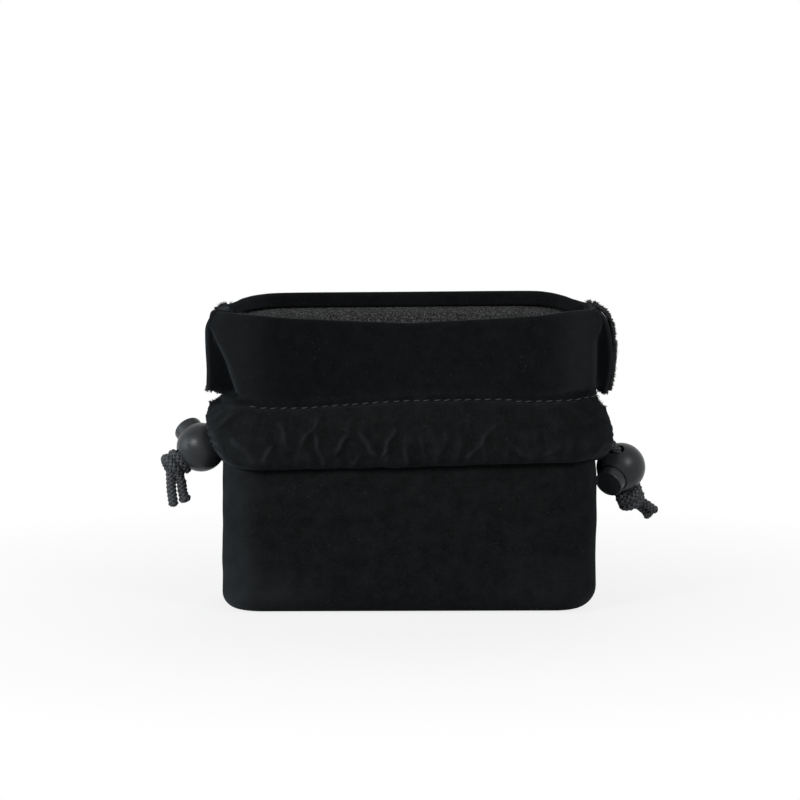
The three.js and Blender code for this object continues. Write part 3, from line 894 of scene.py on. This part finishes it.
def facing(face, corners, faces):
    """Turns a half made for the front into the given face's half."""
    if face == "front":
        return corners, faces
    return corners * (1, -1, 1), [tuple(reversed(f)) for f in faces]


def blend_mouth(piece):
    """Bakes the piece's place into its mesh."""
    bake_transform(piece)


def upper_velvet(face):
    channel, channel_painted_sheen = channel_sheet(face, CHANNEL_SHARES)
    collar, collar_painted_sheen = collar_sheet(face, COLLAR_SHARES)
    faces = grid_faces(channel.shape[0], channel.shape[1])
    first = channel.shape[0] * channel.shape[1]
    faces += grid_faces(collar.shape[0], collar.shape[1], first=first)
    corners = np.concatenate([channel.reshape(-1, 3), collar.reshape(-1, 3)])
    corners, faces = facing(face, corners, faces)
    piece = new_piece(f"{face}_upper_velvet", corners, faces, velvet)
    set_values(piece, "painted_sheen", np.concatenate([channel_painted_sheen.ravel(), collar_painted_sheen.ravel()]))
    # Painted shade where the collar lies behind its panel: the hollows, side strips and inside of the rim;
    # elsewhere a darker tone on the panel, more to the left
    x, y = collar[..., 0].ravel(), collar[..., 1].ravel()
    collar_darkening = lerp(0.3 + 0.2 * smooth(-x, -10, 30), 0.85, smooth(y, 2.5 - HALF_DEPTH, 6 - HALF_DEPTH))
    set_values(piece, "collar_darkening", np.concatenate([np.zeros(channel_painted_sheen.size), collar_darkening]))
    merge_doubles(piece)
    thicken(piece, UPPER_CLOTH)
    blend_mouth(piece)
    sides = ("left", "right")
    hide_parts(f"{face}_channel", f"{face}_collar", *[f"{side}_channel_{face}" for side in sides])
    if face == "front":
        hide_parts("left_collar", "right_collar")
    return channel, collar


def top_stitches(face, channel):
    """Single slanted stitches that lie in the groove above the channel."""
    groove = channel[-4][(CHANNEL_SHARES > -0.66) & (CHANNEL_SHARES < 0.8)]
    along = lengths_along(groove)
    out = outward_of(groove[:, :2])
    pitch, length, radius, slant = 3.1, 2.0, 0.18, 0.12
    count = int(along[-1] // pitch)
    stitches = Parts()
    chance = random.Random(31)
    for i in range(count):
        middle = (i + 0.5) * along[-1] / count + chance.uniform(-0.15, 0.15)
        sunk = chance.uniform(0, 0.2)
        rings = []
        for share, size in ((-1, 0.3), (-0.8, 0.85), (-0.3, 1), (0.3, 1), (0.8, 0.85), (1, 0.3)):
            at = middle + share * length / 2
            centre = place_at(groove, along, at)
            away = place_at(out, along, at)
            away = np.array([*away, 0.0]) / np.linalg.norm(away)
            lift = 0.62 - sunk - 0.5 * share**2
            centre = centre + away * lift + np.array([0, 0, 0.15 + slant * share * length / 2])
            thick = radius * size
            rings.append(ring_round(centre, thick * away, np.array([0, 0, thick]), circle_steps(6)))
        stitches.add(rings)
    corners, faces = facing(face, np.array(stitches.corners), stitches.faces)
    piece = new_piece(f"{face}_stitches", corners, faces, thread)
    blend_mouth(piece)
    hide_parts(f"{face}_topstitch")


# Frayed cut edges
def fibres_along(parts, chance, edge, count, reach, spread):
    """Curved hairs that grow from places along an edge.

    reach is (shortest, longest), and spread is (main direction, how far each hair strays from it).
    """
    along = lengths_along(edge)
    for _ in range(count):
        root = place_at(edge, along, chance.uniform(0, along[-1]))
        way = np.array(spread[0]) + np.array([chance.uniform(-1, 1) * s for s in spread[1]])
        way = way / np.linalg.norm(way)
        bend = np.array([chance.uniform(-0.5, 0.5) for _ in range(3)])
        length = chance.uniform(*reach)
        side = np.cross(way, (0.3, 0.5, 0.81))
        side = side / np.linalg.norm(side) * chance.uniform(0.06, 0.14)
        other = np.cross(way, side)
        rings = []
        for share, size in ((0, 1), (0.4, 0.9), (0.75, 0.7), (1, 0.3)):
            centre = root + way * length * share + bend * length * share**2
            rings.append(ring_round(centre, size * side, size * other, (0, 2.09, 4.19)))
        parts.add(rings)


def frayed_edges(face, channel, collar):
    """Hairs on the raw edges at the snips, and tufts where the rim curls in at the corners."""
    chance = random.Random(11 if face == "front" else 12)
    hairs = Parts()
    short, long = (0.2, 0.7), (0.3, 1.0)
    cut_edge, snipped_edge, inner_edge = collar[0], channel[-1], collar[28]
    raw_left, raw_right = COLLAR_SHARES < -SNIP - 0.01, COLLAR_SHARES > SNIP + 0.01
    for sign, raw in ((-1, raw_left), (1, raw_right)):
        spread = ((sign * 0.15, 0, -0.6), (0.6, 0.6, 0.4))
        fibres_along(hairs, chance, cut_edge[raw], 190, short, spread)
    for sign, edge in ((-1, snipped_edge[:12]), (1, snipped_edge[-12:])):
        spread = ((sign * 0.5, 0, 0.4), (0.6, 0.5, 0.5))
        fibres_along(hairs, chance, edge, 80, short, spread)
    tufted_left = (COLLAR_SHARES < -0.7) & (COLLAR_SHARES > -0.93)
    tufted_right = (COLLAR_SHARES > 0.7) & (COLLAR_SHARES < 0.97)
    for sign, edge, count in ((-1, inner_edge[tufted_left], 110), (1, inner_edge[tufted_right], 260)):
        spread = ((-sign * 0.2, 0, 0.7), (0.8, 0.6, 0.3))
        fibres_along(hairs, chance, edge, count, long, spread)
    corners, faces = facing(face, np.array(hairs.corners), hairs.faces)
    piece = new_piece(f"{face}_frayed_edges", corners, faces, fibre)
    blend_mouth(piece)


def seam_allowance(collar):
    """The raw double edge of the right side seam, which stands out from the collar."""
    spine = follow(collar[:27, -1], np.linspace(0, 1, 90))
    chance = random.Random(21)
    rings = []
    for place, up in zip(spine, directions_along(spine)):
        out = np.array([up[2], 0, -up[0]])
        front, tip, back = (1.35 + chance.uniform(-0.2, 0.2) for _ in range(3))
        section = ((-1.5, 0.6), (-1.2, front), (-0.5, front + 0.1), (0.1, tip + 0.2), (0.7, back), (1.2, 0))
        rings.append([place + np.array([0, y, 0]) + reach * out for y, reach in section])
    edge = Parts()
    edge.add(rings)
    tips = np.array([ring[3] for ring in rings])
    piece = edge.made_into("right_seam_allowance", raw_cloth)
    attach(piece, "bag")
    hairs = Parts()
    fibres_along(hairs, chance, tips, 420, (0.15, 0.6), ((0.7, -0.3, 0.1), (0.4, 0.9, 0.6)))
    tufts = hairs.made_into("right_seam_fibres", fibre)
    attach(tufts, "bag")


# Lining
def lower_lining():
    """The padded cup inside the bag: its inner face, thickened outwards."""
    shares = np.linspace(0, 1, 64)
    base = all_round(follow(bag_quarter(0, LINING_INNER), shares))
    out = outward_of(base, closed=True)
    count = len(base)
    rim = FOLD - 0.4
    rows = []

    def add_row(places, height):
        rows.append(np.column_stack([places, np.full(count, height)]))

    for size in np.linspace(0.05, 1, 14):
        add_row((base - LINING_ROLL * out) * size, PAD_TOP)
    for angle in np.linspace(math.pi / 2, 0, 8)[1:]:
        inset = LINING_ROLL * (1 - math.cos(angle))
        add_row(base - inset * out, PAD_TOP + LINING_ROLL * (1 - math.sin(angle)))
    for height in np.linspace(PAD_TOP + LINING_ROLL, rim, 26)[1:]:
        puff = 0.9 * math.sin((height - PAD_TOP) / (FOLD - PAD_TOP) * math.pi)
        edge = 0.9 * float(smooth(height, FOLD - 2.2, rim))
        add_row(all_round(follow(bag_quarter(height, LINING_INNER + puff - edge), shares)), height)
    corners = np.concatenate(rows)
    corners[:, 2] += 0.25 * unevenness(corners, 13) * smooth(-corners[:, 2], -PAD_TOP - 1, -PAD_TOP)
    faces = grid_faces(len(rows), count, closed=True)
    corners, faces = close_with_pole(corners, faces, count, PAD_TOP)
    faces = [tuple(reversed(f)) for f in faces]
    piece = new_piece("lower_lining", corners, faces, lining)
    thicken(piece, LOWER_PADDING)
    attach(piece, "bag")
    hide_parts("front_lining", "back_lining", "base_pad")


def upper_lining(face):
    """The lining of the mouth: its inner face, over the top edge and down its outer face."""
    shares = np.linspace(-1, 1, 131)
    curl = rim_curl(shares, 0.74)
    rim = along_sides(RIMS, face, shares)
    tuck = 1.6
    top = rim - RIM_ROLL - RIM_BAND + tuck - CURL_RADIUS * np.sin(curl) * 1.05
    rows = []

    def add_row(rise, inset_of):
        heights = lerp(FOLD, top, rise)
        middle = float(np.mean(heights))
        insets = inset_of(heights)
        thin = both_sides(lambda side: lining_quarter(face, side, middle, LINING_OUTER), shares)
        out = outward_of(thin)
        rows.append(np.column_stack([thin - (insets - LINING_OUTER)[:, None] * out, heights]))

    def inner_face(heights):
        tucked = smooth(heights, top - tuck - 2.4, top - tuck + 0.2)
        puff = 0.5 * np.sin(np.clip((heights - FOLD) / (top - FOLD), 0, 1) * math.pi)
        return lerp(LINING_INNER + puff, LINING_OUTER + 0.2, tucked)

    for share in np.linspace(0, 1, 46):
        add_row(1 - (1 - share) ** 1.6, inner_face)
    for rise in np.linspace(1, 0, 20):
        add_row(rise, lambda heights: np.full(len(heights), LINING_OUTER))
    columns = len(shares)
    corners = np.concatenate(rows)
    faces = grid_faces(len(rows), columns)
    last = (len(rows) - 1) * columns
    faces += [(last + i, last + i + 1, i + 1, i) for i in range(columns - 1)]
    faces.append(tuple(row * columns for row in range(len(rows))))
    faces.append(tuple(row * columns + columns - 1 for row in reversed(range(len(rows)))))
    faces = [tuple(reversed(f)) for f in faces]
    corners, faces = facing(face, corners, faces)
    piece = new_piece(f"{face}_mouth_lining", corners, faces, lining)
    blend_mouth(piece)
    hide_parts(f"{face}_upper_lining")
    if face == "front":
        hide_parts("left_upper_lining", "right_upper_lining")


# Braided cord
def frames_along(path):
    """Two directions across a path at each of its points, which don't twist along it."""
    along = directions_along(path)
    start = np.cross(along[0], (0.31, 0.23, 0.92))
    across = [start / np.linalg.norm(start)]
    for direction in along[1:]:
        turned = across[-1] - direction * across[-1].dot(direction)
        across.append(turned / np.linalg.norm(turned))
    across = np.array(across)
    return across, np.cross(along, across)


def braid(parts, stops, step=0.28, melted=False, splay=0.0, thickness=1.0):
    """Eight yarns that weave over and under each other round a core, along a route of stops.

    melted rounds the far end into a tip, splay widens it, and thickness scales the whole cord.
    """
    line = smooth_line(stops, steps=16)
    length = np.linalg.norm(np.diff(line, axis=0), axis=1).sum()
    count = max(int(length / step), 6)
    path = follow(line, np.linspace(0, 1, count))
    across, other = frames_along(path)
    distance = np.linspace(0, length, count)
    swell = np.full(count, thickness)
    if melted:
        swell *= np.sqrt(np.clip(1 - (1 - np.clip((length - distance) / 1.1, 0, 1)) ** 2, 0.04, 1))
    swell = swell * (1 + splay * smooth(distance, length - 2.5, length - 0.6))
    turn = 2 * math.pi * distance / BRAID_PITCH
    section = circle_steps(6)
    for sign in (1, -1):
        for i in range(4):
            angle = sign * turn + i * math.pi / 2
            radius = (BRAID_RADIUS + sign * BRAID_WEAVE * np.cos(4 * turn)) * swell
            away = across * np.cos(angle)[:, None] + other * np.sin(angle)[:, None]
            centre = path + away * radius[:, None]
            flank = np.cross(directions_along(centre), away)
            lift = YARN_THICKNESS * np.cos(section) / 2
            side = YARN_WIDTH * np.sin(section) / 2
            rings = [
                [centre[k] + swell[k] * (up * away[k] + by * flank[k]) for up, by in zip(lift, side)]
                for k in range(count)
            ]
            # Painted shade: the lower a yarn's surface lies, the darker the cord's material paints it
            height = np.hypot((radius / swell)[:, None] + lift, side)
            parts.add(rings, smooth(height, YARN_HIDDEN, YARN_ON_TOP))
    core = []
    for k in range(0, count, 2):
        radius = CORE_RADIUS * swell[k]
        core.append(ring_round(path[k], radius * across[k], radius * other[k], circle_steps(8)))
    # The core is painted in full shade, as it lies under all the yarns
    parts.add(core)


def cord_piece(name, routes, **options):
    parts = Parts()
    for stops in routes:
        braid(parts, stops, **options)
    piece = parts.made_into(name, cord_finish)
    set_values(piece, "unshaded", parts.unshaded)
    return piece


OUTWARD = {"left": -1, "right": 1}

# Ends of the drawcords on their own side: (y, offset from the neck, rise above the cord's height)
DRAWCORD_ENDS = {
    ("left", "front"): [(-5, 1.6, 1.1), (-2.2, 1.2, 2.9)],
    ("left", "back"): [(6.6, 0.7, 0.6)],
    ("right", "front"): [(-6.2, 3.4, -0.7)],
    ("right", "back"): [(2, 1.9, 0), (-1.6, 2.6, -0.7)],
}
DRAWCORD_RISE = {"left": -3.0, "right": 3.0}


def cord_height(side):
    """The left cord runs in the lower half of the channel, and the right one in the upper half."""
    return (FOLD + STITCH) / 2 + DRAWCORD_RISE[side]


def drawcord(side, face):
    """Half of a drawcord: from its own side's opening through the channel to the other side."""
    height = cord_height(side)
    sign = OUTWARD[side]
    flip = -1 if face == "front" else 1
    route = [
        (sign * (NECK_HALF_WIDTH + offset), y, height + rise)
        for y, offset, rise in reversed(DRAWCORD_ENDS[side, face])
    ]
    quarter = bag_quarter(height, -CORD_LIE)
    stops = follow(quarter, np.linspace(0.89, 0, 14))
    route += [(sign * x, flip * -y, height) for x, y in stops]
    route += [(-sign * x, flip * -y, height) for x, y in stops[-2::-1]]
    route += [(-sign * NECK_HALF_WIDTH, flip * 4, height), (-sign * NECK_HALF_WIDTH, 0, height)]
    piece = cord_piece(f"{side}_drawcord_{face}", [route], step=0.4)
    blend_mouth(piece)
    return piece


# Cord locks
class Lock:
    """A cord lock's place: X runs along its cord, Z along its button, out of the ball's centre."""

    def __init__(self, side):
        low, high = box_mm(f"{side}_lock_ball")
        axes = {joint["name"]: Vector(joint["axis"]).normalized() for joint in frame["joints"]}
        self.side = side
        self.centre = (low + high) / 2
        self.cord = axes[f"{side}_cord_draw"]
        self.button = -axes[f"{side}_button_press"]
        self.across = self.button.cross(self.cord)
        turn = Matrix((self.cord, self.across, self.button)).transposed().to_4x4()
        self.matrix = Matrix.Translation(self.centre * MM) @ turn

    def place(self, x, y, z):
        return np.array(self.centre + x * self.cord + y * self.across + z * self.button)


def settle(piece, matrix):
    """Moves a piece made at the origin into place, in its mesh."""
    piece.data.transform(matrix)
    piece.location = (0, 0, 0)
    piece.rotation_euler = (0, 0, 0)
    piece.scale = (1, 1, 1)


def cut_away(piece, cutter):
    boolean = piece.modifiers.new("cut", "BOOLEAN")
    boolean.operation = "DIFFERENCE"
    boolean.solver = "EXACT"
    boolean.object = cutter
    apply_modifiers(piece)
    bpy.data.objects.remove(cutter)


def turned_cutter(profile):
    """A cutter turned about the button axis from (radius, height) corners, bottom to top."""
    parts = Parts()
    parts.add([[(r * math.cos(a), r * math.sin(a), z) for a in circle_steps(64)] for r, z in profile])
    return parts.made_into("cutter", plastic)


def cord_cutter(half_breadth, bottom, top, flare):
    """A bar with round sides along the cord axis, wider by flare at both mouths of the ball."""
    stations = [(6.2, 0), (7.4, flare), (11, 2.6)]
    radius = min((top - bottom) / 2, half_breadth)
    middle = (bottom + top) / 2
    outline = []
    for sign, start in ((1, -math.pi / 2), (-1, math.pi / 2)):
        for a in np.linspace(start, start + math.pi, 13):
            outline.append((sign * (half_breadth - radius) + radius * math.cos(a), radius * math.sin(a)))
    rings = []
    for x, extra in [(-x, extra) for x, extra in reversed(stations)] + stations:
        rings.append([
            (x, y * (1 + extra / half_breadth), z * (1 + extra / radius) + middle) for y, z in outline
        ])
    parts = Parts()
    parts.add(rings)
    return parts.made_into("cutter", plastic)


def finish_plastic(piece, lock, edge_angle):
    """Keeps edges sharper than an angle in degrees, and moves the piece to its lock."""
    select_only(piece)
    bpy.ops.object.shade_smooth_by_angle(angle=math.radians(edge_angle))
    settle(piece, lock.matrix)


def lock_ball(lock):
    """A ball with a bore for the button, a pocket for the spring, a cord passage and a gate mark."""
    bpy.ops.mesh.primitive_uv_sphere_add(segments=64, ring_count=40, radius=BALL_RADIUS * MM)
    piece = bpy.context.object
    piece.name = f"{lock.side}_ball"
    piece.data.materials.append(plastic)
    rounded_mouth = [(0, 5.7), (0.12, 6.0), (0.5, 6.3), (1.5, 9.0)]
    bore = turned_cutter([
        (POCKET_RADIUS, POCKET_FLOOR),
        (POCKET_RADIUS, BORE_FLOOR),
        (BORE_RADIUS, BORE_FLOOR),
        *[(BORE_RADIUS + wider, height) for wider, height in rounded_mouth],
    ])
    cut_away(piece, bore)
    passage_bottom, passage_top = STRAND_HEIGHT - PASSAGE_REACH, STRAND_HEIGHT + PASSAGE_REACH
    cut_away(piece, cord_cutter(PASSAGE_HALF_WIDTH, passage_bottom, passage_top, PASSAGE_FLARE))
    gate = GATE_TOWARDS.normalized() * (BALL_RADIUS + GATE_LIFT) * MM
    bpy.ops.mesh.primitive_uv_sphere_add(segments=20, ring_count=12, radius=GATE_RADIUS * MM, location=gate)
    cut_away(piece, bpy.context.object)
    finish_plastic(piece, lock, edge_angle=28)
    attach(piece, f"{lock.side}_lock")
    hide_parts(f"{lock.side}_lock_ball")


def push_button(lock):
    """A turned plunger with a rounded rim, a stepped face and a slot for the cord."""
    length = BUTTON_FACE - BUTTON_FOOT
    middle = (BUTTON_FACE + BUTTON_FOOT) / 2
    rim_round, border, step_width, step_depth = 0.45, 0.12, 0.1, 0.12
    bpy.ops.mesh.primitive_cylinder_add(
        vertices=64, radius=BUTTON_RADIUS * MM, depth=length * MM, location=(0, 0, middle * MM)
    )
    piece = bpy.context.object
    select_only(piece)
    bpy.ops.object.transform_apply(location=True, rotation=True, scale=True)
    piece.name = f"{lock.side}_push_button"
    piece.data.materials.append(plastic)
    bpy.ops.object.mode_set(mode="EDIT")
    bpy.ops.mesh.select_mode(type="FACE")
    mesh = bmesh.from_edit_mesh(piece.data)
    for face in mesh.faces:
        face.select_set(face.normal.z > 0.9)
    bmesh.update_edit_mesh(piece.data)
    bpy.ops.mesh.bevel(offset=rim_round * MM, segments=4, profile=0.6, affect="EDGES")
    mesh = bmesh.from_edit_mesh(piece.data)
    for face in mesh.faces:
        face.select_set(face.normal.z > 0.999 and face.calc_center_median().z > (BUTTON_FACE - 0.01) * MM)
    bmesh.update_edit_mesh(piece.data)
    bpy.ops.mesh.inset(thickness=border * MM)
    bpy.ops.mesh.inset(thickness=step_width * MM, depth=-step_depth * MM)
    bpy.ops.object.mode_set(mode="OBJECT")
    cut_away(piece, cord_cutter(PASSAGE_HALF_WIDTH, SLOT_BOTTOM, SLOT_TOP, 0.0))
    finish_plastic(piece, lock, edge_angle=30)
    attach(piece, f"{lock.side}_button")
    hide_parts(f"{lock.side}_lock_button")


def coil_spring(lock):
    """Sits between the floor of the pocket and the foot of the button, which presses it together."""
    clearance = 0.1
    bottom, top = POCKET_FLOOR + clearance, BUTTON_FOOT - clearance
    turns, steps = 4.5, 28
    rings = []
    for share in np.linspace(0, 1, int(turns * steps) + 1):
        angle = share * turns * 2 * math.pi
        out = np.array([math.cos(angle), math.sin(angle), 0])
        rise = lerp(bottom + WIRE_RADIUS, top - WIRE_RADIUS, float(smooth(share, 0.02, 0.98)))
        middle = SPRING_RADIUS * out + (0, 0, rise)
        rings.append(ring_round(middle, WIRE_RADIUS * out, np.array([0, 0, WIRE_RADIUS]), circle_steps(8)))
    rings.reverse()
    parts = Parts()
    parts.add(rings)
    piece = parts.made_into(f"{lock.side}_coil_spring", steel)
    settle(piece, lock.matrix)
    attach(piece, f"{lock.side}_lock")
    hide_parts(f"{lock.side}_lock_spring")
    anchor = lock.place(0, 0, bottom) * MM
    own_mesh(piece)


# An overhand knot about its middle: X runs from the ball to the tails
KNOT_ROUTE = [
    (-3.4, 0.0, 0.0),
    (-1.2, -0.4, -0.6),
    (1.2, -1.6, -1.6),
    (1.9, -2.6, 0.6),
    (1.4, -1.0, 2.7),
    (0.9, 1.8, 2.3),
    (0.2, 2.9, -0.2),
    (-0.6, 1.5, -2.5),
    (-1.3, -1.5, -2.4),
    (-1.7, -2.9, 0.2),
    (-1.4, -1.2, 2.6),
    (-0.6, 0.8, 1.6),
    (0.8, 0.8, -0.2),
    (2.6, 0.2, -0.4),
]

# How the left knot is pulled up against its ball, in the pouch's own directions
KNOT_SHIFTS = {"left": (1.15, 1.5, -0.35), "right": (0, 0, 0)}

# Routes of the cut tails from the knot's place, in the pouch's own directions
TAILS = {
    ("left", "long"): [(0.2, -0.6, -4.0), (0.4, -0.9, -8.1), (1.1, -1.2, -13.2)],
    ("left", "short"): [(3.3, -0.2, -4.9), (3.8, -0.5, -8.3), (4.9, -0.9, -11.8)],
    ("right", "long"): [(4.6, 0.2, -1.9), (6.4, 0, -3.1), (8.6, -0.4, -4.7)],
    ("right", "short"): [(3.2, 1.8, -3.2), (4.8, 1.9, -4.6), (6.7, 1.8, -6.6)],
}


def knot_and_tails(lock):
    """The doubled knot, whose two cords lie side by side inside it and one behind the other round it."""
    side = lock.side
    middle = lock.place(KNOT_PLACE, 0, STRAND_HEIGHT)
    breadth, length_share, pulled_in = 1.04, 0.6, 0.7
    apart_outside, apart_inside = 1.35, 0.8
    routes = []
    for shift in (-1, 1):
        route = []
        for x, y, z in KNOT_ROUTE:
            turned_out = min(math.hypot(y, z) / 3, 1)
            along = KNOT_PLACE - pulled_in + length_share * x + shift * apart_outside * turned_out
            beside = breadth * y + shift * apart_inside * (1 - turned_out)
            route.append(lock.place(along, beside, STRAND_HEIGHT + breadth * z) + KNOT_SHIFTS[side])
        routes.append(route)
    knot = cord_piece(f"{side}_braided_knot", routes, step=0.3, thickness=1.06)
    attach(knot, f"{side}_cord_end")
    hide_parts(f"{side}_knot")
    for length, splay in (("long", 0.0), ("short", 0.3)):
        stops = TAILS[side, length]
        start = np.array(stops[0]) * 0.45
        route = [middle + start, *[middle + np.array(stop) for stop in stops]]
        thickness = 1.03 if side == "left" else 0.9
        name = f"{side}_tail_{length}_braid"
        tail = cord_piece(name, [route], step=0.25, melted=True, splay=splay, thickness=thickness)
        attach(tail, f"{side}_cord_end")
        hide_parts(f"{side}_tail_{length}")


def strands(lock):
    """The two strands through the lock, each in an inner and an outer stretch that meet in the ball."""
    side = lock.side
    outward = OUTWARD[side]
    tucked = 0.9 if side == "left" else 1.9
    front_sign = 1 if lock.across.y < 0 else -1
    for face, sign in (("front", front_sign), ("back", -front_sign)):
        spread = sign * STRAND_SPREAD - (0.5 if side == "right" else 0)
        y, offset, rise = DRAWCORD_ENDS[side, face][-1]
        channel_end = np.array([outward * (NECK_HALF_WIDTH + offset), y, cord_height(side) + rise])
        ball_mouth = lock.place(-BALL_RADIUS, spread, STRAND_HEIGHT)
        inside = lock.place(-5.2, spread, STRAND_HEIGHT)
        centre = lock.place(0, spread, STRAND_HEIGHT)
        between = lerp(channel_end, ball_mouth, 0.6)
        bend = between - (outward * tucked, 0, 0)
        inner = cord_piece(f"{side}_strand_{face}_inner", [[channel_end, bend, ball_mouth, inside, centre]])
        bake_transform(inner)
        waist = lock.place(6, spread, STRAND_HEIGHT)
        outer_end = lock.place(KNOT_PLACE - 2.4, spread * 0.6, STRAND_HEIGHT)
        outer = cord_piece(f"{side}_strand_{face}_outer", [[centre, waist, outer_end]])
        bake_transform(outer)
        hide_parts(f"{side}_strand_{face}")


# The pouch
velvet_body()
for face in ("front", "back"):
    channel, collar = upper_velvet(face)
    top_stitches(face, channel)
    frayed_edges(face, channel, collar)
    if face == "front":
        seam_allowance(collar)
    upper_lining(face)
lower_lining()
for side in ("left", "right"):
    halves = [drawcord(side, face) for face in ("front", "back")]
    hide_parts(f"{side}_drawcord")
    lock = Lock(side)
    lock_ball(lock)
    push_button(lock)
    coil_spring(lock)
    knot_and_tails(lock)
    strands(lock)


# Floor, light and camera, with distances in metres
def calculated(tree, operation, first, second):
    node = tree.nodes.new("ShaderNodeMath")
    node.operation = operation
    tree.links.new(first, node.inputs[0])
    tree.links.new(second, node.inputs[1])
    return node.outputs["Value"]


def mapped(tree, source, **limits):
    node = add_node(tree, "ShaderNodeMapRange", **limits)
    tree.links.new(source, node.inputs["Value"])
    return node.outputs["Result"]


def seen_directly(tree):
    """1 for rays from the camera and for those that mirrors and glass send on, 0 for the light's own."""
    path = tree.nodes.new("ShaderNodeLightPath")
    seen = path.outputs["Is Camera Ray"]
    for ray in ("Is Glossy Ray", "Is Transmission Ray"):
        seen = calculated(tree, "MAXIMUM", seen, path.outputs[ray])
    return seen


def floor():
    """A pale floor that catches the shadow and fades into the white background."""
    bpy.ops.mesh.primitive_plane_add(size=4.0, location=(0, 0, -0.0002))
    piece = bpy.context.object
    piece.name = "studio_floor"
    made, tree, shader = material_with("studio_floor", Roughness=0.9, Specular_IOR_Level=0.1)
    shader.inputs["Base Color"].default_value = (0.5, 0.5, 0.5, 1)
    shine = add_node(tree, "ShaderNodeEmission", Strength=1.0)
    place = tree.nodes.new("ShaderNodeTexCoord")
    distance = tree.nodes.new("ShaderNodeVectorMath")
    distance.operation = "LENGTH"
    tree.links.new(place.outputs["Object"], distance.inputs[0])
    fade = mapped(tree, distance.outputs["Value"], From_Min=0.06, From_Max=0.22, To_Min=0.82)
    white = calculated(tree, "MULTIPLY", fade, seen_directly(tree))
    mix = tree.nodes.new("ShaderNodeMixShader")
    tree.links.new(white, mix.inputs["Fac"])
    tree.links.new(shader.outputs["BSDF"], mix.inputs[1])
    tree.links.new(shine.outputs["Emission"], mix.inputs[2])
    tree.links.new(mix.outputs["Shader"], tree.nodes["Material Output"].inputs["Surface"])
    piece.data.materials.append(made)


def background():
    world = bpy.data.worlds.new("studio")
    world.use_nodes = True
    bpy.context.scene.world = world
    tree = world.node_tree
    level = mapped(tree, seen_directly(tree), To_Min=0.16, To_Max=1.0)
    tree.links.new(level, tree.nodes["Background"].inputs["Strength"])
    tree.nodes["Background"].inputs["Color"].default_value = (1, 1, 1, 1)


def softbox(name, azimuth, elevation, power, size):
    distance = 1.2
    light = bpy.data.lights.new(name, "AREA")
    light.energy = power
    light.size = size
    lamp = bpy.data.objects.new(name, light)
    bpy.context.scene.collection.objects.link(lamp)
    turn, rise = math.radians(azimuth), math.radians(elevation)
    way = Vector((math.sin(turn) * math.cos(rise), -math.cos(turn) * math.cos(rise), math.sin(rise)))
    aim = Vector((0, 0, 0.055))
    lamp.location = aim + way * distance
    lamp.rotation_euler = way.to_track_quat("Z", "Y").to_euler()
    return lamp


def camera():
    elevation = math.radians(7.15)
    aim = Vector((-2.84, -15, 65.92)) * MM
    distance = 1.378
    data = bpy.data.cameras.new("camera")
    data.lens = 200
    data.sensor_width = 36
    seen_from = bpy.data.objects.new("camera", data)
    bpy.context.scene.collection.objects.link(seen_from)
    seen_from.location = aim + Vector((0, -math.cos(elevation), math.sin(elevation))) * distance
    seen_from.rotation_euler = (math.pi / 2 - elevation, 0, 0)
    bpy.context.scene.camera = seen_from


floor()
background()
softbox("left_softbox", -40, 28, 9.5, 0.28)
softbox("right_softbox", 40, 30, 6.5, 0.38)
softbox("left_fill", -80, 10, 8, 0.8).data.color = (0.82, 0.92, 1.0)
softbox("back_softbox", 170, 32, 7, 0.6).visible_glossy = False
camera()
bpy.context.scene.view_settings.view_transform = "Standard"
